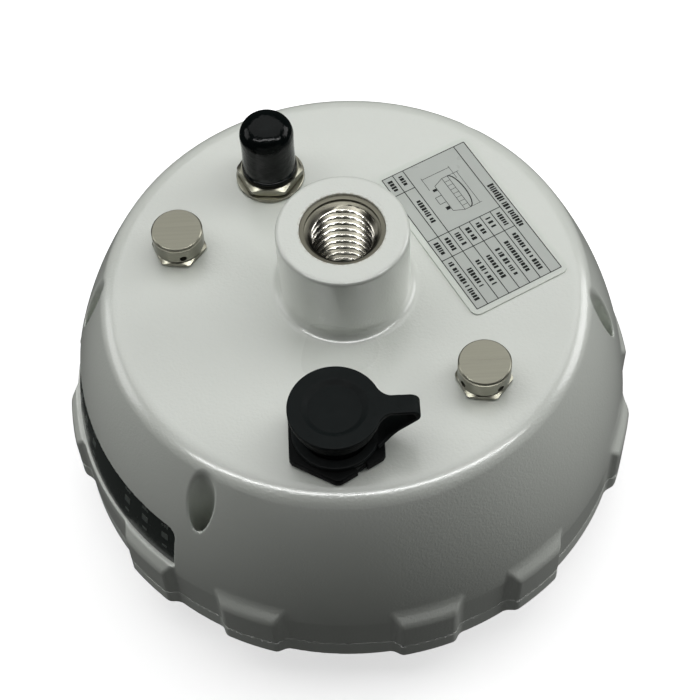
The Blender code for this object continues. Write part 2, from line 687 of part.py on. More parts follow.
def make_antenna_connector():
    flange_bottom, flange_top = ANTENNA_FLANGE_Z
    thin_gap = 0.2 * MM
    body = [
        (ANTENNA_BARREL_RADIUS, ANTENNA_BARREL_TOP_Z),
        (ANTENNA_BARREL_RADIUS, flange_top),
        (ANTENNA_FLANGE_RADIUS, flange_top),
        (ANTENNA_FLANGE_RADIUS, flange_bottom),
        (ANTENNA_TAIL_RADIUS, flange_bottom),
        (ANTENNA_TAIL_RADIUS, ANTENNA_TAIL_Z),
        (ANTENNA_TAIL_BORE, ANTENNA_TAIL_Z),
        (ANTENNA_TAIL_BORE, ANTENNA_BORE_FLOOR_Z),
        (ANTENNA_BORE_RADIUS, ANTENNA_BORE_FLOOR_Z),
        (ANTENNA_BORE_RADIUS, ANTENNA_BARREL_TOP_Z),
    ]
    turned("antenna_connector", body, "nickel", ANTENNA_AXIS)
    seal = tube_profile(7.0 * MM, 5.9 * MM, flange_top + thin_gap, FACE_Z - WALL - thin_gap)
    turned("antenna_seal", seal, "black_rubber", ANTENNA_AXIS)
    hole_radius = ANTENNA_BARREL_RADIUS + 0.4 * MM
    washer = (FACE_Z + thin_gap, ANTENNA_NUT_Z[0] - thin_gap)
    washer_profile = tube_profile(ANTENNA_WASHER_RADIUS, hole_radius, *washer)
    turned("antenna_washer", washer_profile, "nickel", ANTENNA_AXIS, 28)
    nut = prism("antenna_nut", ANTENNA_NUT_FLATS, *ANTENNA_NUT_Z, ANTENNA_AXIS, "nickel", -5.0)
    bore = rod_profile(hole_radius, FACE_Z, ANTENNA_NUT_Z[1] + 1.0 * MM)
    cut(nut, turned("cut_antenna_nut", bore, axis=ANTENNA_AXIS))
    insulator = tube_profile(3.7 * MM, 1.0 * MM, ANTENNA_BORE_FLOOR_Z + GAP, 75.0 * MM)
    turned("antenna_insulator", insulator, "white_insulator", ANTENNA_AXIS, 16)
    turned("antenna_contact", rod_profile(0.65 * MM, 60.0 * MM, 75.8 * MM), "brass", ANTENNA_AXIS, 8)


def make_antenna_cap():
    bottom, top = ANTENNA_CAP_Z
    outer, inner = ANTENNA_CAP_RADIUS, ANTENNA_CAP_RADIUS - ANTENNA_CAP_WALL
    inner_round = ANTENNA_CAP_ROUND - ANTENNA_CAP_WALL
    outer_centre = (outer - ANTENNA_CAP_ROUND, top - ANTENNA_CAP_ROUND)
    inner_centre = (inner - inner_round, top - ANTENNA_CAP_WALL - inner_round)
    outline = [
        (0.0, top),
        *arc(outer_centre, ANTENNA_CAP_ROUND, 90.0, 0.0, 3),
        (outer, bottom),
        (inner, bottom),
        *arc(inner_centre, inner_round, 0.0, 90.0, 2),
        (0.0, top - ANTENNA_CAP_WALL),
    ]
    turned("antenna_cap", outline, "black_vinyl", ANTENNA_AXIS, 24)


# Vent plugs


def make_vent(name, axis):
    base = prism(f"{name}_body", VENT_FLATS, FACE_Z + GAP, VENT_HEX_TOP_Z, axis, "nickel", VENT_TURN)
    middle = VENT_HEX_TOP_Z - 0.8 * MM
    shank = rod_profile(VENT_SHANK_RADIUS, VENT_SHANK_BOTTOM_Z, middle)
    neck = rod_profile(VENT_NECK_RADIUS, middle, VENT_NECK_TOP_Z)
    bore = rod_profile(VENT_BORE_RADIUS, VENT_SHANK_BOTTOM_Z - 1.0 * MM, VENT_NECK_TOP_Z + 1.0 * MM)
    join(base, turned(f"join_{name}_shank", shank, axis=axis))
    join(base, turned(f"join_{name}_neck", neck, axis=axis))
    cut(base, turned(f"cut_{name}_bore", bore, axis=axis, steps=12))
    membrane_bottom = VENT_NECK_TOP_Z + GAP
    membrane = rod_profile(3.0 * MM, membrane_bottom, membrane_bottom + 0.3 * MM)
    turned(f"{name}_membrane", membrane, "white_insulator", axis, 16)
    bottom, top = VENT_CAP_Z
    chamfer = 0.35 * MM
    outline = [
        (0.0, top),
        (VENT_CAP_RADIUS - chamfer, top),
        (VENT_CAP_RADIUS, top - chamfer),
        (VENT_CAP_RADIUS, bottom),
        (VENT_CAP_BORE, bottom),
        (VENT_CAP_BORE, top - VENT_CAP_WALL),
        (0.0, top - VENT_CAP_WALL),
    ]
    cap = turned(f"{name}_cap", outline, "nickel", axis, 28)
    for i in range(VENT_SIDE_HOLE_COUNT):
        azimuth = VENT_SIDE_HOLE_TURNS[name] + 360.0 * i / VENT_SIDE_HOLE_COUNT
        drill = turned(f"cut_{name}_hole_{i + 1}", rod_profile(VENT_SIDE_HOLE_RADIUS, 0.0, 8.0 * MM), steps=8)
        drill.location = at_axis(axis, bottom + 1.6 * MM)
        drill.rotation_euler = (radians(90.0), 0.0, radians(azimuth))
        cut(cap, drill)


# Data connector and dust cap


def make_data_connector():
    body = prism("data_connector", DATA_FLATS, *DATA_FLANGE_Z, DATA_AXIS, "black_plastic", 30.0)
    middle = DATA_FLANGE_Z[1] - 1.0 * MM
    barrel = rod_profile(DATA_BARREL_RADIUS, middle, DATA_BARREL_TOP_Z)
    shank = rod_profile(DATA_SHANK_RADIUS, DATA_SHANK_BOTTOM_Z, middle)
    join(body, turned("join_data_barrel", barrel, axis=DATA_AXIS, steps=28))
    join(body, turned("join_data_shank", shank, axis=DATA_AXIS, steps=24))
    bore = rod_profile(DATA_BORE_RADIUS, DATA_SHANK_BOTTOM_Z - 1.0 * MM, DATA_BARREL_TOP_Z + 1.0 * MM)
    cut(body, turned("cut_data_bore", bore, axis=DATA_AXIS, steps=24))
    groove = tube_profile(*DATA_GROOVE, FACE_Z - 1.0 * MM, DATA_FLANGE_Z[0] + DATA_GROOVE_DEPTH)
    cut(body, turned("cut_data_groove", groove, axis=DATA_AXIS, steps=24))
    x, y, _ = polar(DATA_FLATS / 2.0, 31.0)
    notch_place = (DATA_AXIS[0] + x, DATA_AXIS[1] + y, sum(DATA_FLANGE_Z) / 2.0)
    cut(body, box("cut_flange_notch", (2.6 * MM, 1.6 * MM, 6.0 * MM), notch_place, turn=30.0))
    seal_outer, seal_inner = DATA_GROOVE[0] - GAP, DATA_GROOVE[1] + GAP
    seal_top = DATA_FLANGE_Z[0] + DATA_GROOVE_DEPTH - GAP
    seal = tube_profile(seal_outer, seal_inner, FACE_Z + 0.2 * MM, seal_top)
    turned("data_seal", seal, "black_rubber", DATA_AXIS, 24)
    heights = (DATA_NUT_BOTTOM_Z, FACE_Z - WALL - GAP)
    nut = prism("data_connector_nut", DATA_NUT_FLATS, *heights, DATA_AXIS, "zinc_steel", 10.0)
    nut_bore = rod_profile(DATA_SHANK_RADIUS + GAP, heights[0] - 1.0 * MM, heights[1] + 1.0 * MM)
    cut(nut, turned("cut_data_nut", nut_bore, axis=DATA_AXIS, steps=24))
    make_data_pins()


def make_data_pins():
    block = rod_profile(DATA_BORE_RADIUS - GAP, *DATA_CARRIER_Z)
    carrier = turned("data_pin_carrier", block, "black_plastic", DATA_AXIS, 24)
    for i in range(DATA_PIN_COUNT):
        x, y, _ = polar(DATA_PIN_CIRCLE, 45.0 + 360.0 * i / DATA_PIN_COUNT)
        axis = (DATA_AXIS[0] + x, DATA_AXIS[1] + y)
        hole = rod_profile(DATA_PIN_RADIUS + GAP, *DATA_PIN_Z)
        cut(carrier, turned(f"cut_pin_hole_{i + 1}", hole, axis=axis, steps=8))
        turned(f"data_pin_{i + 1}", rod_profile(DATA_PIN_RADIUS, *DATA_PIN_Z), "brass", axis, 8)


def make_dust_cap():
    bottom, top = DUST_CAP_Z
    inner, outer = DUST_CAP_SKIRT
    outline = [
        (0.0, top),
        (DUST_CAP_RADIUS - 0.3 * MM, top),
        (DUST_CAP_RADIUS, top - 0.3 * MM),
        (DUST_CAP_RADIUS, bottom + 0.6 * MM),
        (outer, bottom),
        (outer, DUST_CAP_SKIRT_Z),
        (inner, DUST_CAP_SKIRT_Z),
        (inner, bottom),
        (0.0, bottom),
    ]
    cap = turned("dust_cap", outline, "black_rubber", DATA_AXIS, 36)
    start = DATA_AXIS[0] + DUST_CAP_RADIUS - 1.5 * MM
    end = STRAP_BEND_X - 1.5 * MM
    tongue_z = top - STRAP_THICKNESS / 2.0 - 0.1 * MM
    size = (end - start, STRAP_WIDTH, STRAP_THICKNESS)
    join(cap, box("join_tongue", size, ((start + end) / 2.0, DATA_AXIS[1], tongue_z)))


def strap_path():
    """Middle line of the free strap, as (x, z): from the tongue round the tight bend and down to the ring."""
    radius = 1.75 * MM
    top_z = DUST_CAP_Z[1] - STRAP_THICKNESS / 2.0 - 0.1 * MM
    centre = (STRAP_BEND_X - 0.7 * MM, top_z - radius)
    path = [(STRAP_BEND_X - 1.2 * MM, top_z)]
    path += arc(centre, radius, 75.0, -40.0, 4)
    path += [(9.6 * MM, 75.2 * MM), (8.2 * MM, 73.3 * MM), (7.4 * MM, 72.4 * MM)]
    return path


def make_strap():
    """The free part of the strap, as a ribbon thickened on both sides."""
    mesh = bpy.data.meshes.new("cap_strap")
    form = bmesh.new()
    rows = []
    for x, z in strap_path():
        rows.append([form.verts.new((x, side * STRAP_WIDTH / 2.0, z)) for side in (-1.0, 1.0)])
    for first, second in zip(rows, rows[1:]):
        form.faces.new((first[0], first[1], second[1], second[0]))
    form.to_mesh(mesh)
    form.free()
    strap = place("cap_strap", mesh, "black_rubber", (0.0, DATA_AXIS[1], 0.0))
    solid = strap.modifiers.new("thickness", "SOLIDIFY")
    solid.thickness = STRAP_THICKNESS
    solid.offset = 0.0
    ring = tube_profile(STRAP_RING[1], STRAP_RING[0], *STRAP_RING_Z)
    turned("strap_ring", ring, "black_rubber", DATA_AXIS, 28)


# Electronics


def make_boards():
    board = turned("main_board", rod_profile(BOARD_RADIUS, *BOARD_Z), "circuit_board", steps=40)
    for i, axis in enumerate(at_posts(), 1):
        hole = rod_profile(1.6 * MM, BOARD_Z[0] - 1.0 * MM, BOARD_Z[1] + 1.0 * MM)
        cut(board, turned(f"cut_board_hole_{i}", hole, axis=axis, steps=10))
        head_top = BOARD_Z[0] - GAP
        head_bottom = head_top - 2.0 * MM
        shank_radius, head_radius = 1.2 * MM, 2.6 * MM
        outline = [
            (0.0, BOARD_SCREW_TOP_Z),
            (shank_radius, BOARD_SCREW_TOP_Z),
            (shank_radius, head_top),
            (head_radius, head_top),
            (head_radius, head_bottom),
            (0.0, head_bottom),
        ]
        turned(f"board_screw_{i}", outline, "zinc_steel", axis, 10)
    turned("antenna_plate", rod_profile(PLATE_RADIUS, *PLATE_Z), "aluminium", steps=40)
    for i, azimuth in enumerate(SPACER_AZIMUTHS, 1):
        axis = polar(SPACER_CENTRE_RADIUS, azimuth)[:2]
        ends = (PLATE_Z[1] + GAP, BOARD_Z[0] - GAP)
        prism(f"antenna_spacer_{i}", SPACER_FLATS, *ends, axis, "brass")


def on_board(name, size, x, y, material):
    """A component standing on the upper side of the main board."""
    box(name, size, (x, y, BOARD_Z[1] + GAP + size[2] / 2.0), material)


def make_components():
    on_board("gnss_module", (30.0 * MM, 22.0 * MM, 3.0 * MM), 22.0 * MM, 14.0 * MM, "shield_metal")
    on_board("radio_module", (30.0 * MM, 20.0 * MM, 5.0 * MM), -12.0 * MM, 24.0 * MM, "shield_metal")
    on_board("power_converter", (13.0 * MM, 13.0 * MM, 7.0 * MM), -22.0 * MM, -6.0 * MM, "black_plastic")
    on_board("board_header", (16.0 * MM, 6.0 * MM, 5.0 * MM), -4.0 * MM, -20.0 * MM, "white_insulator")
    lower = (50.0 * MM, 50.0 * MM, 6.0 * MM)
    upper = (28.0 * MM, 28.0 * MM, 4.0 * MM)
    lower_z = PLATE_Z[0] - GAP - lower[2] / 2.0
    upper_z = lower_z - lower[2] / 2.0 - GAP - upper[2] / 2.0
    box("lower_patch", lower, (0.0, 0.0, lower_z), "ceramic")
    box("upper_patch", upper, (0.0, 0.0, upper_z), "ceramic")


def make_cables():
    x, y = ANTENNA_AXIS
    cable(
        "radio_coax",
        [(x, y, 57.0 * MM), (x, y - 1.0 * MM, 55.5 * MM), (x + 1.5 * MM, y - 4.0 * MM, 54.6 * MM)],
        0.9 * MM,
    )
    x, y = DATA_AXIS
    harness = [
        (x, y, 58.5 * MM),
        (x, y + 0.4 * MM, 54.0 * MM),
        (x, y + 5.0 * MM, 51.6 * MM),
        (x, y + 12.0 * MM, 53.5 * MM),
        (x, y + 17.5 * MM, 57.0 * MM),
        (x, -20.0 * MM, 54.8 * MM),
    ]
    cable("data_harness", harness, 1.6 * MM)
    cable(
        "antenna_coax",
        [(20.0 * MM, 0.0, 24.2 * MM), (30.0 * MM, 2.0 * MM, 34.0 * MM), (30.0 * MM, 1.0 * MM, 45.2 * MM)],
        0.9 * MM,
    )
    azimuth = -75.0
    route = [(60.6, 40.4), (57.0, 43.0), (53.8, 48.0), (50.0, 51.5), (46.0, 50.5), (44.5, 48.9)]
    cable("indicator_cable", [polar(r * MM, azimuth, z * MM) for r, z in route], 0.7 * MM)


def main():
    recess_cutters = make_recess_cutters()
    make_lower_housing(recess_cutters)
    make_top_cover(recess_cutters)
    make_housing_seal()
    make_housing_screws()
    make_thread_insert()
    make_indicators()
    make_label()
    make_antenna_connector()
    make_antenna_cap()
    for name, axis in VENT_AXES.items():
        make_vent(name, axis)
    make_data_connector()
    make_dust_cap()
    make_strap()
    make_boards()
    make_components()
    make_cables()


main()
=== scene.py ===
"""The looks of a GNSS receiver that lies on its dome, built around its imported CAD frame.

The shape functions work in millimetres, in the frame's axes, with Z up through the pole thread. Azimuths are
in degrees around Z, with 0 at the front (-Y) and 90 at the right (+X). Meshes are scaled to metres when made.
"""

import json
from math import atan2, cos, degrees, hypot, pi, radians, sin, sqrt, tan

import bmesh
import bpy
import numpy as np
from mathutils import Euler, Matrix, Vector


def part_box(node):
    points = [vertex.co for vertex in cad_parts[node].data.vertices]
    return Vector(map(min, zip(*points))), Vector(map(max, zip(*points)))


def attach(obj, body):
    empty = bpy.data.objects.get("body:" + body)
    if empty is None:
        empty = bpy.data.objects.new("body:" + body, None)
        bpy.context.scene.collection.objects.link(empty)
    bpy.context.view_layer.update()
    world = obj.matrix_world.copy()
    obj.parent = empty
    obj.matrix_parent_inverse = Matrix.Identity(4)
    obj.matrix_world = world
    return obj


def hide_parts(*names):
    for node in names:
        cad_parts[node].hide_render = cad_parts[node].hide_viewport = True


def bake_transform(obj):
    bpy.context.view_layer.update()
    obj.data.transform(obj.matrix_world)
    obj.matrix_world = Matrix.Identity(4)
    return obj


MM = 0.001

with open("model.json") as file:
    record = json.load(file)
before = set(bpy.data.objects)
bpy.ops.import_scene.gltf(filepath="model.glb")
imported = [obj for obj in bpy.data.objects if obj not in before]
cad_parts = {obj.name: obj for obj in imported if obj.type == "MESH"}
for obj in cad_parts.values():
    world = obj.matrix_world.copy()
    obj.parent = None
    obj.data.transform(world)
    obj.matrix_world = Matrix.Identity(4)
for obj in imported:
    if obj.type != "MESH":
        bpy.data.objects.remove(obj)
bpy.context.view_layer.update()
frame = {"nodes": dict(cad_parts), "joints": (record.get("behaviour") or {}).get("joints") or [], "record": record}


# What the frame says


def node_box(node):
    """Lowest and highest corner of a CAD node, in millimetres."""
    low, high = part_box(node)
    return low / MM, high / MM


def node_axis(node):
    """The (x, y) of an upright CAD node's axis."""
    low, high = node_box(node)
    return ((low.x + high.x) / 2.0, (low.y + high.y) / 2.0)


def node_radius(node, axis=(0.0, 0.0)):
    """Largest distance of a CAD node's points from an upright axis."""
    points = frame["nodes"][node].data.vertices
    return max(hypot(v.co.x / MM - axis[0], v.co.y / MM - axis[1]) for v in points)


def azimuth_of(point):
    return degrees(atan2(point[0], -point[1]))


TOTAL_HEIGHT = node_box("lower_housing")[1].z
HOUSING_BOTTOM = node_box("lower_housing")[0].z
COVER_TOP = node_box("top_cover")[1].z
FACE_Z = node_box("name_label")[0].z - 0.15
RIM_RADIUS = node_radius("top_cover")
SCREWS = [f"housing_screw_{i}" for i in range(1, 5)]
POCKETS = [node_axis(name) for name in SCREWS]
POSTS = [node_axis(f"board_screw_{i}") for i in range(1, 5)]
ANTENNA_AXIS = node_axis("antenna_washer")
DATA_AXIS = node_axis("strap_ring")
VENTS = {side: node_axis(f"{side}_vent_cap") for side in ("left", "right")}
LIGHTS = [azimuth_of(node_axis(f"status_led_{i}")) for i in range(1, 7)]
LIGHT_LOW, LIGHT_HIGH = node_box("status_led_1")
LIGHT_Z = (LIGHT_LOW.z + LIGHT_HIGH.z) / 2.0
BOARD_TOP = node_box("main_board")[1].z

# Shape of the shells
WALL_FOOT_Z = 30.0
WALL_FOOT_RADIUS = 67.0
WALL_HEAD_Z = 64.85
WALL_HEAD_RADIUS = 57.0
WALL_BULGE = 1.76
WALL = 3.0
FACE_FILLET = 3.0
PAIR_AZIMUTH = -34.85
PAIR_STEP = 60.0
TOOTH_OFFSET = 12.35
TOOTH_HALF_WIDTH = 6.5
TOOTH_TOP_Z = 28.7
TOOTH_TOP_LEAN = radians(30.6)
RECESS_RADIUS = 67.1
RIM_INNER_RADIUS = 63.5
DOME_FLAT_RADIUS = 12.0
DOME_EDGE_RADIUS = 68.2
DOME_EDGE_Z = 12.4
DOME_POWER = 1.9
COVER_WALL = 2.6
BOSS_RADIUS = 14.9
BOSS_BORE_RADIUS = 10.1
BOSS_BORE_FLOOR = 68.0
BOSS_TOP_ROUND = 1.0
BOSS_FOOT_FILLET = 2.4
LIP_OVERLAP = 0.5  # how far the paint laps over the thread insert
POCKET_RADIUS = 3.15
POCKET_COLUMN_RADIUS = 5.2
POCKET_FLOOR = 24.1
SCREW_HOLE_RADIUS = 1.8
WINDOW_AZIMUTHS = (-96.3, -39.9)
WINDOW_Z = (31.6, 45.6)
WINDOW_RECESS = 1.8
WINDOW_INSET = 0.6
WINDOW_THICKNESS = 0.9
WINDOW_ROUND = 2.6
WINDOW_REFERENCE_RADIUS = 65.5
LIGHT_HOLE_RADIUS = 1.95
PORT_HOLES = [(ANTENNA_AXIS, 5.5), (DATA_AXIS, 8.3), *[(axis, 4.3) for axis in VENTS.values()]]
POST_RADIUS = 3.2
POST_HOLE_RADIUS = 1.5
POST_HOLE_TOP = 58.0
SEAL_GROOVE = (65.1, 0.8, 1.25)  # middle radius, half width and depth
COVER_SCREW_FLOOR = 12.1
PARTING_GAP = 0.1  # each shell's share of the gap between them
SKIN_STEP = 0.5  # cell of the net that the shells are drawn with
SKIN_SHARE = 0.3  # share of the net's triangles that are kept


# Materials


STEEL = (0.62, 0.60, 0.54)
ALONG_X = (1.0, 40.0, 40.0)
AROUND_Z = (14.0, 14.0, 60.0)


def new_material(name, colour, roughness, metallic=0.0):
    material = bpy.data.materials.new(name)
    material.use_nodes = True
    shader = material.node_tree.nodes["Principled BSDF"]
    shader.inputs["Base Color"].default_value = (*colour, 1.0)
    shader.inputs["Roughness"].default_value = roughness
    shader.inputs["Metallic"].default_value = metallic
    return material


def shader_of(material):
    return material.node_tree.nodes["Principled BSDF"]


def add_node(material, kind, **values):
    node = material.node_tree.nodes.new(kind)
    for name, value in values.items():
        setattr(node, name, value)
    return node


def link(material, source, target):
    material.node_tree.links.new(source, target)


def object_coordinates(material, stretch=(1.0, 1.0, 1.0)):
    """Object coordinates, stretched along the axes."""
    place = add_node(material, "ShaderNodeTexCoord")
    mapping = add_node(material, "ShaderNodeMapping")
    mapping.inputs["Scale"].default_value = stretch
    link(material, place.outputs["Object"], mapping.inputs["Vector"])
    return mapping.outputs["Vector"]


def noise(material, scale, detail=3.0, stretch=(1.0, 1.0, 1.0)):
    texture = add_node(material, "ShaderNodeTexNoise")
    texture.inputs["Scale"].default_value = scale
    texture.inputs["Detail"].default_value = detail
    link(material, object_coordinates(material, stretch), texture.inputs["Vector"])
    return texture.outputs["Fac"]


def ramp(material, value, low, high, first, last):
    """Maps a value between low and high to first and last, as a colour or a number."""
    mapped = add_node(material, "ShaderNodeMapRange", clamp=True)
    mapped.inputs["From Min"].default_value = low
    mapped.inputs["From Max"].default_value = high
    mapped.inputs["To Min"].default_value = first
    mapped.inputs["To Max"].default_value = last
    link(material, value, mapped.inputs["Value"])
    return mapped.outputs["Result"]


def mix_colour(material, factor, first, second):
    """Mixes two colours, each a tuple or a socket."""
    mixed = add_node(material, "ShaderNodeMix", data_type="RGBA")
    link(material, factor, mixed.inputs["Factor"])
    for socket, colour in ((mixed.inputs[6], first), (mixed.inputs[7], second)):
        if isinstance(colour, tuple):
            socket.default_value = (*colour, 1.0)
        else:
            link(material, colour, socket)
    return mixed.outputs[2]


def mottle(material, colour, share, scale, detail=4.0, stretch=(1.0, 1.0, 1.0)):
    """Colour that varies a little over the surface."""
    darker = tuple(c * (1.0 - share) for c in colour)
    lighter = tuple(min(1.0, c * (1.0 + share)) for c in colour)
    factor = ramp(material, noise(material, scale, detail, stretch), 0.2, 0.8, 0.0, 1.0)
    mixed = mix_colour(material, factor, darker, lighter)
    link(material, mixed, shader_of(material).inputs["Base Color"])
    return mixed


def vary_roughness(material, low, high, scale, detail=4.0, stretch=(1.0, 1.0, 1.0)):
    value = ramp(material, noise(material, scale, detail, stretch), 0.2, 0.8, low, high)
    link(material, value, shader_of(material).inputs["Roughness"])


def add_bump(material, height, distance, strength=1.0, below=None):
    """A bump from a height value. The distance is the height's size, in metres."""
    bump = add_node(material, "ShaderNodeBump")
    bump.inputs["Strength"].default_value = strength
    bump.inputs["Distance"].default_value = distance
    link(material, height, bump.inputs["Height"])
    if below:
        link(material, below, bump.inputs["Normal"])
    link(material, bump.outputs["Normal"], shader_of(material).inputs["Normal"])
    return bump.outputs["Normal"]


def reach_from_axis(material, place):
    """Distance from the receiver's axis, for a node that splits the coordinates."""
    flat = add_node(material, "ShaderNodeCombineXYZ")
    link(material, place.outputs["X"], flat.inputs["X"])
    link(material, place.outputs["Y"], flat.inputs["Y"])
    reach = add_node(material, "ShaderNodeVectorMath", operation="LENGTH")
    link(material, flat.outputs["Vector"], reach.inputs["Vector"])
    return reach.outputs["Value"]


def make_white_paint():
    """Semi-gloss sprayed paint: a slight orange peel, and chips around the mouth of the boss."""
    material = new_material("white_paint", (0.74, 0.775, 0.72), 0.3)
    colour = mottle(material, (0.745, 0.775, 0.72), 0.01, 18.0, 1.0)
    geometry = add_node(material, "ShaderNodeNewGeometry")
    place = add_node(material, "ShaderNodeSeparateXYZ")
    link(material, geometry.outputs["Position"], place.inputs["Vector"])
    near_bore = ramp(material, reach_from_axis(material, place), 9.65 * MM, 10.15 * MM, 1.0, 0.0)
    low, high = (TOTAL_HEIGHT - 1.6) * MM, (TOTAL_HEIGHT - 0.8) * MM
    high_up = ramp(material, place.outputs["Z"], low, high, 0.0, 1.0)
    mouth = add_node(material, "ShaderNodeMath", operation="MULTIPLY")
    link(material, near_bore, mouth.inputs[0])
    link(material, high_up, mouth.inputs[1])
    grains = ramp(material, noise(material, 1100.0, 3.0), 0.42, 0.6, 0.0, 1.0)
    chips = add_node(material, "ShaderNodeMath", operation="MULTIPLY")
    link(material, mouth.outputs["Value"], chips.inputs[0])
    link(material, grains, chips.inputs[1])
    wear_and_root_shade = mix_colour(material, chips.outputs["Value"], colour, (0.52, 0.505, 0.43))
    link(material, wear_and_root_shade, shader_of(material).inputs["Base Color"])
    vary_roughness(material, 0.27, 0.31, 20.0, 1.0)
    peel = add_bump(material, noise(material, 620.0, 2.0), 0.00005, 0.4)
    add_bump(material, noise(material, 1700.0, 1.0), 0.00007, 0.8, peel)
    shader_of(material).inputs["Coat Weight"].default_value = 0.7
    shader_of(material).inputs["Coat Roughness"].default_value = 0.17
    return material


def make_thread_steel():
    """Machined steel: polished crests, painted shade darkening the thread's roots, and dull and brown at the mouth
    of the bore.
    """
    material = new_material("thread_steel", STEEL, 0.22, 1.0)
    bright = mottle(material, STEEL, 0.06, 45.0, 3.0, AROUND_Z)
    place = add_node(material, "ShaderNodeSeparateXYZ")
    link(material, object_coordinates(material), place.inputs["Vector"])
    low, high = (TOTAL_HEIGHT - 2.1) * MM, (TOTAL_HEIGHT - 1.5) * MM
    mouth = ramp(material, place.outputs["Z"], low, high, 0.0, 1.0)
    # Painted shade: the colour darkens towards the thread's roots, where shade falls between the flanks.
    root = ramp(material, reach_from_axis(material, place), 6.8 * MM, 7.1 * MM, 0.0, 1.0)
    wear_and_root_shade = mix_colour(material, root, bright, (0.07, 0.067, 0.055))
    colour = mix_colour(material, mouth, wear_and_root_shade, (0.15, 0.145, 0.115))
    link(material, colour, shader_of(material).inputs["Base Color"])
    rough = ramp(material, place.outputs["Z"], low, high, 0.2, 0.5)
    link(material, rough, shader_of(material).inputs["Roughness"])
    add_bump(material, noise(material, 1500.0, 3.0), 0.000006, 0.5)
    return material


def make_radome_plastic():
    material = new_material("radome_plastic", (0.755, 0.785, 0.735), 0.34)
    mottle(material, (0.755, 0.785, 0.735), 0.01, 18.0, 1.0)
    vary_roughness(material, 0.32, 0.38, 20.0, 1.0)
    add_bump(material, noise(material, 1500.0, 3.0), 0.00002, 0.5)
    return material


def make_brushed(name, colour, roughness, stretch, depth=0.000012):
    """Machined metal with fine lines along one axis."""
    material = new_material(name, colour, roughness, 1.0)
    mottle(material, colour, 0.1, 45.0, 5.0, stretch)
    vary_roughness(material, roughness * 0.85, roughness * 1.2, 45.0, 4.0, stretch)
    add_bump(material, noise(material, 45.0, 5.0, stretch), depth, 0.6)
    return material


def make_moulded(name, colour, roughness, grain, depth, share=0.1, gloss=0.5):
    """Moulded plastic or rubber with a fine grain."""
    material = new_material(name, colour, roughness)
    shader_of(material).inputs["Specular IOR Level"].default_value = gloss
    mottle(material, colour, share, grain * 0.2)
    vary_roughness(material, roughness * 0.85, min(1.0, roughness * 1.2), grain * 0.3)
    add_bump(material, noise(material, grain, 4.0), depth, 0.5)
    return material


def make_vinyl():
    """Glossy dipped vinyl with a slow, uneven surface."""
    material = new_material("black_vinyl", (0.003, 0.0045, 0.0045), 0.12)
    shader_of(material).inputs["Specular IOR Level"].default_value = 0.1
    mottle(material, (0.003, 0.0045, 0.0045), 0.3, 200.0)
    vary_roughness(material, 0.1, 0.18, 250.0)
    waves = add_bump(material, noise(material, 700.0, 2.0), 0.0002, 0.5)
    add_bump(material, noise(material, 1800.0, 3.0), 0.00002, 0.5, waves)
    return material


def make_smoked_window():
    material = new_material("smoked_plastic", (0.03, 0.037, 0.033), 0.2)
    mottle(material, (0.03, 0.037, 0.033), 0.12, 120.0)
    vary_roughness(material, 0.16, 0.3, 300.0)
    add_bump(material, noise(material, 1600.0, 3.0), 0.000008, 0.5)
    return material


def make_circuit_board():
    """Green solder mask, with paler traces in blocks."""
    material = new_material("circuit_board", (0.02, 0.16, 0.07), 0.42)
    traces = add_node(material, "ShaderNodeTexBrick")
    traces.inputs["Scale"].default_value = 240.0
    traces.inputs["Mortar Size"].default_value = 0.03
    traces.inputs["Color1"].default_value = (0.02, 0.15, 0.065, 1.0)
    traces.inputs["Color2"].default_value = (0.022, 0.17, 0.075, 1.0)
    traces.inputs["Mortar"].default_value = (0.05, 0.27, 0.12, 1.0)
    link(material, object_coordinates(material), traces.inputs["Vector"])
    link(material, traces.outputs["Color"], shader_of(material).inputs["Base Color"])
    add_bump(material, traces.outputs["Fac"], 0.00004, 0.5)
    return material


def make_materials():
    rubber, plastic = (0.006, 0.0085, 0.0085), (0.002, 0.003, 0.003)
    return {
        "white_paint": make_white_paint(),
        "radome_plastic": make_radome_plastic(),
        "stainless_steel": make_brushed("stainless_steel", STEEL, 0.2, AROUND_Z, 0.000003),
        "nickel": make_brushed("nickel", (0.205, 0.202, 0.163), 0.3, ALONG_X, 0.000006),
        "brass": make_brushed("brass", (0.78, 0.60, 0.28), 0.28, AROUND_Z),
        "shield_metal": make_brushed("shield_metal", (0.62, 0.62, 0.60), 0.35, ALONG_X),
        "aluminium": make_brushed("aluminium", (0.70, 0.71, 0.72), 0.35, ALONG_X),
        "zinc_steel": make_brushed("zinc_steel", (0.50, 0.50, 0.48), 0.32, AROUND_Z),
        "black_vinyl": make_vinyl(),
        "black_rubber": make_moulded("black_rubber", rubber, 0.55, 1800.0, 0.00003, 0.1, 0.08),
        "black_plastic": make_moulded("black_plastic", plastic, 0.45, 1500.0, 0.00002, 0.1, 0.05),
        "cable_jacket": make_moulded("cable_jacket", (0.02, 0.02, 0.02), 0.5, 2500.0, 0.00002),
        "white_insulator": make_moulded("white_insulator", (0.8, 0.8, 0.77), 0.5, 2000.0, 0.00002, 0.02),
        "led_plastic": make_moulded("led_plastic", (0.6, 0.63, 0.58), 0.4, 2000.0, 0.00002, 0.03),
        "ceramic": make_moulded("ceramic", (0.66, 0.60, 0.50), 0.6, 1800.0, 0.00004, 0.05),
        "label_film": make_moulded("label_film", (0.72, 0.76, 0.70), 0.35, 900.0, 0.00001, 0.02),
        "smoked_plastic": make_smoked_window(),
        "circuit_board": make_circuit_board(),
    }


MATERIALS = make_materials()
PRINT_INK = make_moulded("label_ink", (0.012, 0.014, 0.012), 0.5, 900.0, 0.00001, 0.1, 0.2)
LABEL_GREY = make_moulded("label_grey", (0.50, 0.53, 0.495), 0.3, 900.0, 0.00001, 0.03)
WINDOW_GREY = make_moulded("window_marks", (0.11, 0.125, 0.115), 0.4, 900.0, 0.00001)


# Making pieces


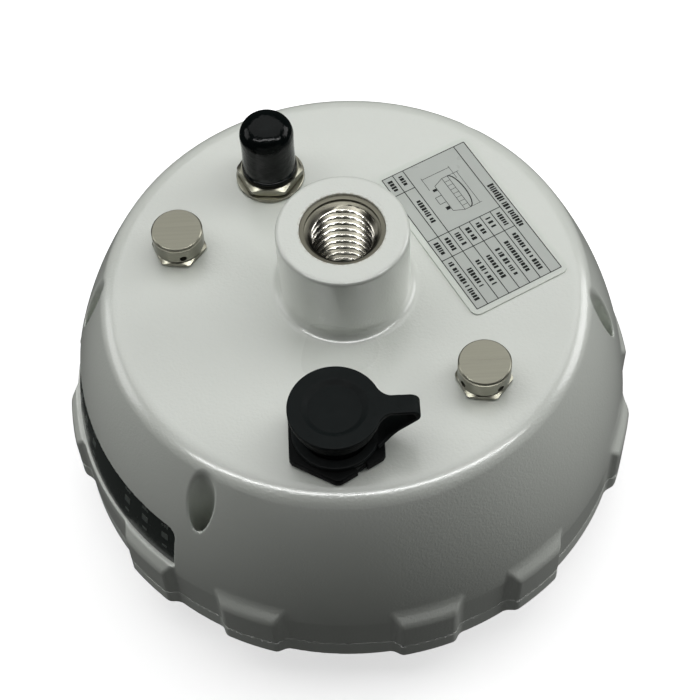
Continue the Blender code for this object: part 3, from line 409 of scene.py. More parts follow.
def finish_piece(obj, slot, body, *nodes, material=None):
    """Gives a piece its material and its body, and hides the CAD nodes that it stands for."""
    obj.data.materials.clear()
    obj.data.materials.append(material or MATERIALS[slot])
    if body:
        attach(obj, body)
    if nodes:
        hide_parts(*nodes)
    return obj


def add_object(name, mesh):
    obj = bpy.data.objects.new(name, mesh)
    bpy.context.scene.collection.objects.link(obj)
    return obj


def object_from(name, form):
    """An object from a bmesh, which is freed."""
    mesh = bpy.data.meshes.new(name)
    form.to_mesh(mesh)
    form.free()
    return add_object(name, mesh)


def smooth(mesh, angle=35.0):
    mesh.shade_smooth()
    mesh.set_sharp_from_angle(angle=radians(angle))


def tidy_mesh(mesh, merge=0.0005):
    """Merges doubled points and turns every face outwards. The merge distance is in millimetres."""
    form = bmesh.new()
    form.from_mesh(mesh)
    bmesh.ops.remove_doubles(form, verts=form.verts, dist=merge)
    bmesh.ops.dissolve_degenerate(form, edges=form.edges, dist=merge)
    bmesh.ops.recalc_face_normals(form, faces=form.faces)
    form.to_mesh(mesh)
    form.free()


def loft(name, rings, closed=True, angle=35.0):
    """A solid through rings of points in millimetres. A closed loft joins its last ring to its first."""
    count = len(rings[0])
    points = [point for ring in rings for point in ring]
    faces = []
    spans = len(rings) if closed else len(rings) - 1
    for i in range(spans):
        low, high = i * count, (i + 1) % len(rings) * count
        for j in range(count):
            k = (j + 1) % count
            faces.append((low + j, low + k, high + k, high + j))
    if not closed:
        faces.append(tuple(range(count)))
        faces.append(tuple(range(len(points) - count, len(points))))
    mesh = bpy.data.meshes.new(name)
    mesh.from_pydata(points, [], faces)
    tidy_mesh(mesh)
    mesh.transform(Matrix.Scale(MM, 4))
    smooth(mesh, angle)
    return add_object(name, mesh)


def ring_at(axis, radius, z, steps):
    """A ring of points. The radius and the height are numbers, or functions of the angle in radians."""
    ring = []
    for j in range(steps):
        angle = 2.0 * pi * j / steps
        r = radius(angle) if callable(radius) else radius
        height = z(angle) if callable(z) else z
        ring.append((axis[0] + r * cos(angle), axis[1] + r * sin(angle), height))
    return ring


def lathe(name, profile, axis, steps=96, angle=35.0):
    """A turned solid from a closed profile of (radius, z)."""
    return loft(name, [ring_at(axis, r, z, steps) for r, z in profile], True, angle)


def round_corner(centre, radius, start, end, count=6):
    """Points (r, z) on an arc, with its angles in degrees."""
    points = []
    for i in range(count + 1):
        angle = radians(start + (end - start) * i / count)
        points.append((centre[0] + radius * cos(angle), centre[1] + radius * sin(angle)))
    return points


def rounded_rectangle(width, height, corner, count):
    """Outline of a rectangle with rounded corners, centred on zero."""
    outline = []
    for quarter, (su, sv) in enumerate(((1, 1), (-1, 1), (-1, -1), (1, -1))):
        centre = (su * (width / 2.0 - corner), sv * (height / 2.0 - corner))
        outline += round_corner(centre, corner, 90.0 * quarter, 90.0 * quarter + 90.0, count)
    return outline


def carve(obj, cutters):
    """Cuts closed meshes from an object, and removes them."""
    for cutter in cutters:
        modifier = obj.modifiers.new(cutter.name, "BOOLEAN")
        modifier.operation = "DIFFERENCE"
        modifier.solver = "EXACT"
        modifier.object = cutter
    bpy.context.view_layer.update()
    carved = bpy.data.meshes.new_from_object(obj.evaluated_get(bpy.context.evaluated_depsgraph_get()))
    obj.modifiers.clear()
    obj.data = carved
    smooth(carved)
    for cutter in cutters:
        bpy.data.objects.remove(cutter, do_unlink=True)


# Surfaces drawn from a distance function


def smooth_max(a, b, radius):
    """Where two solids meet in an edge, rounds the edge."""
    corner = np.hypot(np.maximum(a + radius, 0.0), np.maximum(b + radius, 0.0))
    return np.minimum(np.maximum(a, b), -radius) + corner


def smooth_min(a, b, radius):
    """Where two solids join, fills the corner between them."""
    corner = np.hypot(np.maximum(radius - a, 0.0), np.maximum(radius - b, 0.0))
    return np.maximum(np.minimum(a, b), radius) - corner


def net_vertices(field, cells, low, step):
    """The mean of where the surface crosses each cell's edges."""
    corners = np.array([(i, j, k) for i in (0, 1) for j in (0, 1) for k in (0, 1)])
    values = np.stack([field[tuple((cells + corner).T)] for corner in corners], 1)
    total = np.zeros((len(cells), 3))
    hits = np.zeros(len(cells))
    for a in range(8):
        for b in range(a + 1, 8):
            if np.abs(corners[a] - corners[b]).sum() != 1:
                continue
            crossed = (values[:, a] < 0.0) != (values[:, b] < 0.0)
            share = values[crossed, a] / (values[crossed, a] - values[crossed, b])
            total[crossed] += corners[a] + share[:, None] * (corners[b] - corners[a])
            hits[crossed] += 1.0
    return np.array(low) + (cells + total / hits[:, None]) * step


def net_faces(inside, numbers):
    """One face around each grid edge that the surface crosses."""
    faces = []
    for axis in range(3):
        first = np.take(inside, range(inside.shape[axis] - 1), axis)
        second = np.take(inside, range(1, inside.shape[axis]), axis)
        where = np.stack(np.nonzero(first != second), 1)
        outward = first[tuple(where.T)]
        across, along = np.eye(3, dtype=int)[(axis + 1) % 3], np.eye(3, dtype=int)[(axis + 2) % 3]
        steps = (across + along, along, 0 * across, across)
        quads = np.stack([numbers[tuple((where - back).T)] for back in steps], 1)
        quads[~outward] = quads[~outward][:, ::-1]
        faces.append(quads)
    return np.concatenate(faces)


def gradient(distance, points, reach=0.03):
    parts = []
    for shift in np.eye(3) * reach:
        ahead = distance(*(points + shift).T)
        parts.append((ahead - distance(*(points - shift).T)) / (2.0 * reach))
    return np.stack(parts, 1)


def settle(distance, points, times=3):
    """Moves points onto the surface, and returns them with the surface's normals there."""
    for _ in range(times):
        slope = gradient(distance, points)
        steep = np.maximum((slope**2).sum(1), 0.2)
        points = points - (distance(*points.T) / steep)[:, None] * slope
    slope = gradient(distance, points)
    return points, slope / np.maximum(np.linalg.norm(slope, axis=1), 1e-6)[:, None]


def mesh_of(name, points, quads):
    mesh = bpy.data.meshes.new(name)
    mesh.vertices.add(len(points))
    mesh.vertices.foreach_set("co", points.astype(np.float32).ravel())
    mesh.loops.add(quads.size)
    mesh.loops.foreach_set("vertex_index", quads.astype(np.int32).ravel())
    mesh.polygons.add(len(quads))
    mesh.polygons.foreach_set("loop_start", np.arange(0, quads.size, 4, dtype=np.int32))
    mesh.update(calc_edges=True)
    return mesh


def skin(name, distance, low, high, step, share=1.0):
    """An object with the closed surface where the distance is zero, thinned to a share of its triangles."""
    axes = [np.arange(start, end + step, step) for start, end in zip(low, high)]
    field = distance(*np.meshgrid(*axes, indexing="ij", sparse=True))
    inside = field < 0.0
    count = np.zeros([n - 1 for n in inside.shape], np.int8)
    for i in (0, 1):
        for j in (0, 1):
            for k in (0, 1):
                part = inside[i : i + count.shape[0], j : j + count.shape[1], k : k + count.shape[2]]
                count += part
    cells = np.stack(np.nonzero((count > 0) & (count < 8)), 1)
    numbers = np.full(inside.shape, -1)
    numbers[tuple(cells.T)] = np.arange(len(cells))
    points = net_vertices(field, cells, low, step)
    obj = add_object(name, mesh_of(name, points, net_faces(inside, numbers)))
    if share < 1.0:
        thin = obj.modifiers.new("thin", "DECIMATE")
        thin.ratio = share
        depsgraph = bpy.context.evaluated_depsgraph_get()
        mesh = bpy.data.meshes.new_from_object(obj.evaluated_get(depsgraph))
        obj.modifiers.clear()
        obj.data = mesh
    points = np.zeros(len(obj.data.vertices) * 3, np.float32)
    obj.data.vertices.foreach_get("co", points)
    points, normals = settle(distance, points.reshape(-1, 3).astype(float))
    obj.data.vertices.foreach_set("co", (points * MM).astype(np.float32).ravel())
    obj.data.update()
    obj.data.shade_smooth()
    obj.data.normals_split_custom_set_from_vertices(normals.tolist())
    return obj


# The two shells


def wall_radius(z):
    """Outer radius of the side wall at height z, above the teeth."""
    share = (z - WALL_FOOT_Z) / (WALL_HEAD_Z - WALL_FOOT_Z)
    cone = WALL_FOOT_RADIUS + (WALL_HEAD_RADIUS - WALL_FOOT_RADIUS) * share
    return cone + WALL_BULGE * 4.0 * share * (1.0 - share)


def wall_distance(r, z):
    return (r - wall_radius(z)) * 0.96


def dome_height(r):
    share = np.maximum(r - DOME_FLAT_RADIUS, 0.0) / (DOME_EDGE_RADIUS - DOME_FLAT_RADIUS)
    return DOME_EDGE_Z * share**DOME_POWER


def tooth_side(r, azimuth):
    """Distance to the sloping sides of the nearest tooth, which come in pairs."""
    within_pair = np.mod(azimuth - PAIR_AZIMUTH + PAIR_STEP / 2.0, PAIR_STEP) - PAIR_STEP / 2.0
    aside = np.radians(np.abs(np.abs(within_pair) - TOOTH_OFFSET)) * r
    return (aside - TOOTH_HALF_WIDTH - 0.9 * (RIM_RADIUS - r)) * 0.74


def column(x, y, axis, radius):
    return np.hypot(x - axis[0], y - axis[1]) - radius


def rim_distance(r, azimuth, top):
    """The teeth, bounded above by the distance top, on the recessed band between them."""
    tooth = smooth_max(r - RIM_RADIUS, top, 0.7)
    tooth = smooth_max(tooth, tooth_side(r, azimuth), 0.55)
    return np.maximum(tooth, 60.0 - r)


def window_distance(azimuth, z):
    """Distance to the window's outline, on the wall unrolled. Its upper right corner is rounder."""
    middle = sum(WINDOW_AZIMUTHS) / 2.0
    half_width = radians(WINDOW_AZIMUTHS[1] - middle) * WINDOW_REFERENCE_RADIUS
    half_height = (WINDOW_Z[1] - WINDOW_Z[0]) / 2.0
    side = np.radians(azimuth - middle) * WINDOW_REFERENCE_RADIUS
    up = z - sum(WINDOW_Z) / 2.0
    corner = np.where((side > 0.0) & (up > 0.0), WINDOW_ROUND, 0.5)
    across = np.abs(side) - half_width + corner
    along = np.abs(up) - half_height + corner
    outside = np.hypot(np.maximum(across, 0.0), np.maximum(along, 0.0))
    return np.minimum(np.maximum(across, along), 0.0) + outside - corner


def housing_hollow(x, y, z, r):
    """The inside of the housing, less the screw columns and the board's posts."""
    side = np.maximum(wall_distance(r, z) + WALL, r - RIM_INNER_RADIUS)
    hollow = smooth_max(side, z - FACE_Z + WALL, 2.0)
    for axis in POCKETS:
        hollow = np.maximum(hollow, -column(x, y, axis, POCKET_COLUMN_RADIUS))
    for axis in POSTS:
        post = np.maximum(column(x, y, axis, POST_RADIUS), BOARD_TOP + 0.3 - z)
        hollow = np.maximum(hollow, -post)
    return hollow


def housing_distance(x, y, z):
    r = np.hypot(x, y)
    azimuth = np.degrees(np.arctan2(x, -y))
    cone = wall_distance(r, z)
    wall = np.maximum(cone, r - RECESS_RADIUS)
    body = smooth_max(wall, z - FACE_Z, FACE_FILLET)
    tooth_top = (r - RIM_RADIUS) * cos(TOOTH_TOP_LEAN) + (z - TOOTH_TOP_Z) * sin(TOOTH_TOP_LEAN)
    body = smooth_min(body, rim_distance(r, azimuth, tooth_top), 0.6)
    boss = np.maximum(smooth_max(r - BOSS_RADIUS, z - TOTAL_HEIGHT, BOSS_TOP_ROUND), FACE_Z - 6.0 - z)
    body = smooth_min(body, boss, BOSS_FOOT_FILLET)
    body = np.maximum(body, HOUSING_BOTTOM + PARTING_GAP - z)
    body = smooth_max(body, -np.maximum(r - BOSS_BORE_RADIUS, BOSS_BORE_FLOOR - z), 0.35)
    for axis in POCKETS:
        pocket = np.maximum(column(x, y, axis, POCKET_RADIUS), POCKET_FLOOR - z)
        body = smooth_max(body, -pocket, 0.8)
    cutter = np.maximum(window_distance(azimuth, z), -WINDOW_RECESS - cone)
    body = smooth_max(body, -cutter, 0.4)
    for axis, radius in PORT_HOLES:
        hole = np.maximum(column(x, y, axis, radius), FACE_Z - 2.0 * WALL - z)
        body = np.maximum(body, -hole)
    for light in LIGHTS:
        angle = radians(light)
        out = x * sin(angle) - y * cos(angle)
        hole = np.hypot(x * cos(angle) + y * sin(angle), z - LIGHT_Z) - LIGHT_HOLE_RADIUS
        body = np.maximum(body, -np.maximum(hole, 55.0 - out))
    body = np.maximum(body, -housing_hollow(x, y, z, r))
    for axis in POCKETS:
        body = np.maximum(body, -column(x, y, axis, SCREW_HOLE_RADIUS))
    for axis in POSTS:
        body = np.maximum(body, -np.maximum(column(x, y, axis, POST_HOLE_RADIUS), z - POST_HOLE_TOP))
    return body


def cover_distance(x, y, z):
    r = np.hypot(x, y)
    azimuth = np.degrees(np.arctan2(x, -y))
    dome = (dome_height(r) - z) * 0.93
    rim = smooth_min(r - RECESS_RADIUS, rim_distance(r, azimuth, -1000.0), 0.6)
    body = smooth_max(rim, dome, 0.7)
    body = np.maximum(body, z - COVER_TOP + PARTING_GAP)
    hollow = smooth_max(r - RIM_INNER_RADIUS + 0.5, dome + COVER_WALL, 2.0)
    for axis in POCKETS:
        hollow = np.maximum(hollow, -column(x, y, axis, 4.6))
    body = np.maximum(body, -hollow)
    middle, half_width, depth = SEAL_GROOVE
    body = np.maximum(body, -np.maximum(np.abs(r - middle) - half_width, COVER_TOP - depth - z))
    for axis in POCKETS:
        body = np.maximum(body, -np.maximum(column(x, y, axis, SCREW_HOLE_RADIUS), COVER_SCREW_FLOOR - z))
    return body


def make_shells():
    reach = RIM_RADIUS + 0.8
    low, high = (-reach, -reach, HOUSING_BOTTOM - 0.7), (reach, reach, TOTAL_HEIGHT + 0.7)
    housing = skin("housing_shell", housing_distance, low, high, SKIN_STEP, SKIN_SHARE)
    finish_piece(housing, "white_paint", "receiver", "lower_housing")
    low, high = (-reach, -reach, -0.7), (reach, reach, COVER_TOP + 0.7)
    cover = skin("dome_cover", cover_distance, low, high, SKIN_STEP, SKIN_SHARE)
    finish_piece(cover, "radome_plastic", "receiver", "top_cover")


def make_mouth_lip():
    """The paint that laps over the edge of the thread insert."""
    inner, outer = BOSS_BORE_RADIUS - LIP_OVERLAP, BOSS_BORE_RADIUS + 0.4
    low, high = node_box("thread_insert")[1].z + 0.05, TOTAL_HEIGHT - 0.02
    profile = [(inner + 0.12, high), (outer, high), (outer, low), (inner, low), (inner, high - 0.12)]
    lip = lathe("mouth_lip", profile, (0.0, 0.0), 120)
    finish_piece(lip, "white_paint", "receiver")


# Pole thread


THREAD_PITCH = 2.309
THREAD_MAJOR_RADIUS = 7.94
THREAD_MINOR_RADIUS = 6.75
THREAD_MOUTH_RADIUS = 8.55
THREAD_MOUTH_DEPTH = 0.9


def thread_wave(turns, crest=0.16, root=0.12):
    """A thread's flank, from 0 at the crest to 1 at the root, for a number of turns."""
    share = abs((turns % 1.0) * 2.0 - 1.0)
    return min(1.0, max(0.0, (share - crest) / (1.0 - crest - root)))


def make_pole_thread():
    """Stainless insert with the pole's right-hand thread cut into it."""
    low, high = node_box("thread_insert")
    outer = node_radius("thread_insert")
    steps = 120
    rows = 210
    rings = [ring_at((0.0, 0.0), outer, z, steps) for z in (high.z - 0.25, low.z)]
    rings.insert(0, ring_at((0.0, 0.0), outer - 0.25, high.z, steps))
    top = high.z - 0.05
    for i in range(rows + 1):
        z = low.z + (top - low.z) * i / rows
        limit = THREAD_MOUTH_RADIUS - max(0.0, high.z - z - THREAD_MOUTH_DEPTH) * 1.8

        def radius(angle, z=z, limit=limit):
            wave = thread_wave(z / THREAD_PITCH - angle / (2.0 * pi))
            depth = THREAD_MAJOR_RADIUS - THREAD_MINOR_RADIUS
            return max(limit, THREAD_MINOR_RADIUS + depth * wave)

        rings.append(ring_at((0.0, 0.0), radius, z, steps))
    rings.append(ring_at((0.0, 0.0), THREAD_MOUTH_RADIUS + 0.1, high.z, steps))
    thread = loft("pole_thread", rings, True, 30.0)
    finish_piece(thread, "stainless_steel", "receiver", "thread_insert", material=make_thread_steel())


# Window in the side wall


def on_wall(azimuth, z, inset):
    angle = radians(azimuth)
    r = wall_radius(z) - inset
    return (r * sin(angle), -r * cos(angle), z)


def wall_patch(azimuths, heights, inset, thickness, columns=3, rows=2):
    """Rings of points for a small solid that follows the wall."""
    rings = []
    for i in range(columns + 1):
        azimuth = azimuths[0] + (azimuths[1] - azimuths[0]) * i / columns
        low, high = heights(azimuth) if callable(heights) else heights
        levels = [low + (high - low) * j / rows for j in range(rows + 1)]
        outer = [on_wall(azimuth, z, inset) for z in levels]
        inner = [on_wall(azimuth, z, inset + thickness) for z in reversed(levels)]
        rings.append(outer + inner)
    return rings


def window_heights(azimuth):
    """Lower and upper edge of the window panel, with the rounder upper right corner."""
    gap = 0.3
    right = WINDOW_AZIMUTHS[1] - 0.35
    aside = radians(right - azimuth) * WINDOW_REFERENCE_RADIUS
    radius = WINDOW_ROUND - gap
    drop = 0.0
    if aside < radius:
        drop = radius - sqrt(max(radius**2 - (radius - aside) ** 2, 0.0))
    return (WINDOW_Z[0] + gap, WINDOW_Z[1] - gap - drop)


def make_window():
    left, right = WINDOW_AZIMUTHS[0] + 0.35, WINDOW_AZIMUTHS[1] - 0.35
    rings = wall_patch((left, right), window_heights, WINDOW_INSET, WINDOW_THICKNESS, 150, 8)
    panel = loft("window_panel", rings, False)
    finish_piece(panel, "smoked_plastic", "receiver", "indicator_window")
    parts = []
    mark_inset = WINDOW_INSET - 0.04
    for i, light in enumerate(LIGHTS):
        half = degrees(1.0 / WINDOW_REFERENCE_RADIUS)
        patches = [(light - half, light + half, LIGHT_Z - 1.0, LIGHT_Z + 1.0)]
        for k in range(3):
            start = light - half * 1.1 + half * 0.75 * k
            rise = 0.25 * ((i + k) % 3)
            patches.append((start, start + half * 0.5, LIGHT_Z + 3.0, LIGHT_Z + 3.7 + rise))
        patches.append((light - half * 0.7, light + half * 0.7, LIGHT_Z - 4.3, LIGHT_Z - 3.6))
        for start, end, low, high in patches:
            parts.append(loft("mark", wall_patch((start, end), (low, high), mark_inset, 0.05), False))
    marks = join_objects("window_marks", parts)
    finish_piece(marks, "led_plastic", "receiver", material=WINDOW_GREY)


def join_objects(name, parts):
    """One object from several closed meshes that stay apart."""
    form = bmesh.new()
    for part in parts:
        form.from_mesh(part.data)
        bpy.data.objects.remove(part, do_unlink=True)
    return object_from(name, form)


# Label


LABEL_TURN = radians(-62.7)
LABEL_SIZE = (45.6, 25.7)
LABEL_CORNER = 2.0
LABEL_AXIS = node_axis("name_label")
LABEL_TOP = node_box("name_label")[1].z
TABLE_SIZE = (42.6, 22.7)
TABLE_ROWS = 8
KEY_SPLIT = (0.49, 0.64)  # shares of the table's length where the right half's keys start and end
SIDE_KEY_SPLIT = 0.134
LINE_WIDTH = 0.2
INK_THICKNESS = 0.04
FIELD_THICKNESS = 0.015


def on_label(u, v, z):
    """A point on the label, u along its rows and v across them, from its centre."""
    x = u * cos(LABEL_TURN) - v * sin(LABEL_TURN)
    y = u * sin(LABEL_TURN) + v * cos(LABEL_TURN)
    return (LABEL_AXIS[0] + x, LABEL_AXIS[1] + y, z)


def flat_prism(name, outline, low, high):
    rings = [[on_label(u, v, z) for u, v in outline] for z in (low, high)]
    return loft(name, rings, False)


def ink(outline):
    return flat_prism("ink", outline, LABEL_TOP + FIELD_THICKNESS, LABEL_TOP + INK_THICKNESS)


def ink_bar(u0, v0, u1, v1):
    return ink([(u0, v0), (u1, v0), (u1, v1), (u0, v1)])


def ink_line(start, end, width=LINE_WIDTH):
    """A stroke between two points of the label."""
    du, dv = end[0] - start[0], end[1] - start[1]
    length = hypot(du, dv)
    au, av = -dv / length * width / 2.0, du / length * width / 2.0
    first = [(start[0] + au, start[1] + av), (start[0] - au, start[1] - av)]
    last = [(end[0] - au, end[1] - av), (end[0] + au, end[1] + av)]
    return ink(first + last)


def ink_path(points, width=LINE_WIDTH):
    return [ink_line(a, b, width) for a, b in zip(points, points[1:])]


def ink_words(random, u0, u1, v, height, fill):
    """A row of small blocks in place of text, centred between u0 and u1."""
    room = (u1 - u0) * fill
    at = (u0 + u1) / 2.0 - room / 2.0
    end = at + room
    bars = []
    while at < end - 0.3:
        width = min(random.uniform(0.35, 0.75), end - at)
        rise = random.uniform(0.7, 1.0) * height / 2.0
        bars.append(ink_bar(at, v - rise, at + width, v + rise))
        at += width + (0.7 if random.random() < 0.2 else 0.22)
    return bars


def ink_outline_drawing(left, right, low, high):
    """A plain side view of a round receiver with two dimension lines."""
    middle, level = (left + right) / 2.0 + 1.6, (low + high) / 2.0
    half, base = 5.3, level + 1.2
    start, end = middle - half, middle + half
    arc = []
    for i in range(13):
        angle = pi * i / 12.0
        arc.append((middle + half * cos(angle), base + 1.7 * sin(angle)))
    strokes = ink_path(arc, 0.28)
    band = base - 1.5
    strokes += ink_path([(end, base), (end, band), (start, band), (start, base)], 0.12)
    strokes += ink_path([(end, base), (start, base)], 0.12)
    for i in range(1, 8):
        u = start + 2.0 * half * i / 8.0
        strokes += ink_path([(u, base), (u, band)], 0.1)
    taper, foot = half * 0.78, band - 2.6
    strokes += ink_path([(start, band), (middle - taper, foot), (middle + taper, foot), (end, band)], 0.12)
    near, far = middle - 1.1, middle + 1.1
    boss = [(near, foot), (near, foot - 1.7), (far, foot - 1.7), (far, foot)]
    strokes += ink_path(boss, 0.12)
    for side, width in ((-3.1, 0.7), (2.9, 0.9)):
        u = middle + side
        strokes.append(ink_bar(u - width / 2.0, foot - 1.1, u + width / 2.0, foot - 0.1))
    above = base + 2.6
    strokes += ink_path([(start, above), (end, above)], 0.1)
    for u in (start, end):
        strokes += ink_path([(u, base + 0.4), (u, above + 0.5)], 0.1)
    beside = start - 2.0
    strokes += ink_path([(beside, foot - 1.7), (beside, base + 1.7)], 0.1)
    for v in (foot - 1.7, base + 1.7):
        strokes += ink_path([(beside - 0.5, v), (middle - half * 0.7, v)], 0.1)
    return strokes


def make_label():
    outline = rounded_rectangle(*LABEL_SIZE, LABEL_CORNER, 10)
    film = flat_prism("label_film", outline, FACE_Z + 0.02, LABEL_TOP)
    finish_piece(film, "label_film", "receiver", "name_label")
    left, right = -TABLE_SIZE[0] / 2.0, TABLE_SIZE[0] / 2.0
    bottom, top = -TABLE_SIZE[1] / 2.0, TABLE_SIZE[1] / 2.0
    row = TABLE_SIZE[1] / TABLE_ROWS
    keys, values = (left + share * TABLE_SIZE[0] for share in KEY_SPLIT)
    side_values = left + SIDE_KEY_SPLIT * TABLE_SIZE[0]
    frame_line = [(left, bottom), (right, bottom), (right, top), (left, top)]
    field = flat_prism("label_field", frame_line, LABEL_TOP, LABEL_TOP + FIELD_THICKNESS)
    finish_piece(field, "label_film", "receiver", material=LABEL_GREY)
    random = np.random.default_rng(7)
    strokes = ink_path([*frame_line, frame_line[0]])
    for i in range(1, TABLE_ROWS):
        v = top - row * i
        start = left if i in (1, TABLE_ROWS - 2, TABLE_ROWS - 1) else keys
        strokes.append(ink_line((start, v), (right, v)))
    strokes.append(ink_line((keys, top - row), (keys, bottom)))
    strokes.append(ink_line((values, top - row), (values, bottom)))
    strokes.append(ink_line((side_values, top - row * (TABLE_ROWS - 2)), (side_values, bottom)))
    strokes += ink_words(random, left, right, top - row / 2.0, 1.7, 0.34)
    for i in range(1, TABLE_ROWS):
        v = top - row * (i + 0.5)
        strokes += ink_words(random, keys, values, v, 1.35, 0.62)
        strokes += ink_words(random, values, right, v, 1.35, random.uniform(0.3, 0.85))
    v = bottom + row * 1.5
    strokes += ink_words(random, left, side_values, v, 1.35, 0.6)
    strokes += ink_words(random, side_values, keys, v, 1.35, 0.5)
    strokes += ink_words(random, left, side_values, bottom + row / 2.0, 1.35, 0.6)
    strokes += ink_outline_drawing(left, keys, bottom + 2.0 * row, top - row)
    marks = join_objects("label_print", strokes)
    finish_piece(marks, "label_film", "receiver", material=PRINT_INK)


# Hexagons


def hexagon(apothem, turn, corner_share):
    """Radius of a hexagon at an angle, with its corners cut to a share of their radius."""
    limit = apothem / cos(pi / 6.0) * corner_share

    def radius(angle):
        aside = (angle - turn + pi / 6.0) % (pi / 3.0) - pi / 6.0
        return min(apothem / cos(aside), limit)

    return radius


def hex_solid(name, axis, flats, low, high, bore, turn, chamfer=0.35, corner_share=0.985):
    """A nut: a hexagon with both ends chamfered to a circle, and a bore. At turn 0 a flat faces the front."""
    apothem = flats / 2.0
    edge = hexagon(apothem, radians(turn + 30.0), corner_share)
    circle = apothem * 0.985

    def drop(angle):
        return max(edge(angle) - circle, 0.0) * tan(radians(30.0)) + chamfer * 0.3

    steps = 144
    rings = [
        ring_at(axis, bore, high - 0.25, steps),
        ring_at(axis, bore + 0.25, high, steps),
        ring_at(axis, circle, high, steps),
        ring_at(axis, edge, lambda angle: high - drop(angle), steps),
        ring_at(axis, edge, lambda angle: low + drop(angle), steps),
        ring_at(axis, circle, low, steps),
        ring_at(axis, bore + 0.25, low, steps),
        ring_at(axis, bore, low + 0.25, steps),
    ]
    return loft(name, rings, True, 20.0)


# Antenna port


def make_antenna_port():
    low, high = node_box("antenna_nut")
    nut = hex_solid("antenna_hex_nut", ANTENNA_AXIS, 13.9, low.z, high.z, 5.35, -5.0)
    finish_piece(nut, "nickel", "receiver", "antenna_nut")
    low, high = node_box("antenna_washer")
    outer = node_radius("antenna_washer", ANTENNA_AXIS)
    profile = [(5.4, high.z), (outer - 0.15, high.z), (outer, high.z - 0.15), (outer, low.z), (5.4, low.z)]
    washer = lathe("antenna_flat_washer", profile, ANTENNA_AXIS)
    finish_piece(washer, "nickel", "receiver", "antenna_washer")
    make_antenna_barrel()
    make_antenna_cap()


def make_antenna_barrel():
    """The connector's body, with a fine outside thread on its barrel."""
    low, high = node_box("antenna_connector")
    pitch, depth, steps = 0.9, 0.32, 72
    outer = 5.1
    thread_low = 68.2
    rows = 110
    flange_low, flange_high = 62.0, 64.2
    profile = [(4.1, high.z), (4.1, 65.0), (2.3, 65.0), (2.3, low.z), (3.4, low.z), (3.4, flange_low)]
    profile += [(7.4, flange_low), (7.4, flange_high), (outer, flange_high)]
    rings = [ring_at(ANTENNA_AXIS, r, z, steps) for r, z in profile]
    for i in range(rows + 1):
        z = thread_low + (high.z - thread_low) * i / rows
        limit = outer - max(0.0, z - high.z + 0.5) * 0.8

        def radius(angle, z=z, limit=limit):
            wave = thread_wave(z / pitch - angle / (2.0 * pi))
            return min(limit, outer - depth * wave)

        rings.append(ring_at(ANTENNA_AXIS, radius, z, steps))
    barrel = loft("antenna_barrel", rings, True, 30.0)
    finish_piece(barrel, "nickel", "receiver", "antenna_connector")


def make_antenna_cap():
    """Dipped vinyl cap: a round end, sides that swell slightly, and a rolled lip."""
    low, high = node_box("antenna_cap")
    outer = node_radius("antenna_cap", ANTENNA_AXIS)
    wall, top_round = 0.85, 4.2
    inner = outer - wall
    outside = [(0.0, high.z)]
    outside += round_corner((outer - top_round, high.z - top_round), top_round, 90.0, 0.0, 16)
    for share in (0.2, 0.4, 0.6, 0.8):
        z = high.z - top_round + (low.z + 1.5 - high.z + top_round) * share
        outside.append((outer - 0.12 * sin(pi * share), z))
    outside += [(outer - 0.05, low.z + 1.5), (outer - 0.1, low.z + 1.15)]
    outside += round_corner((outer - 0.3, low.z + 0.55), 0.5, 70.0, -80.0, 8)
    inside = [(inner, low.z + 0.1), (inner, high.z - top_round)]
    inside += round_corner((inner - 3.35, high.z - wall - 3.35), 3.35, 0.0, 90.0, 10)
    inside.append((0.0, high.z - wall))
    cap = lathe("vinyl_cap", outside + inside, ANTENNA_AXIS, 96, 60.0)
    finish_piece(cap, "black_vinyl", "antenna_cap_body", "antenna_cap")


# Vent plugs


VENT_FLATS = 11.4
VENT_HEX_TOP = 69.9
VENT_HEX_TURN = -8.0
VENT_BORE_RADIUS = 2.2
VENT_NECK_RADIUS = 3.3
VENT_SHANK_RADIUS = 4.0
VENT_CAP_WALL = 1.2
VENT_CAP_BORE = 3.7
VENT_SHIFT = (-0.2, 0.7)  # from the CAD axis
VENT_DROP = 1.0  # below the CAD cap
VENT_HOLE_RADIUS = 0.85
VENT_HOLE_TURNS = {"left": 12.0, "right": 33.0}


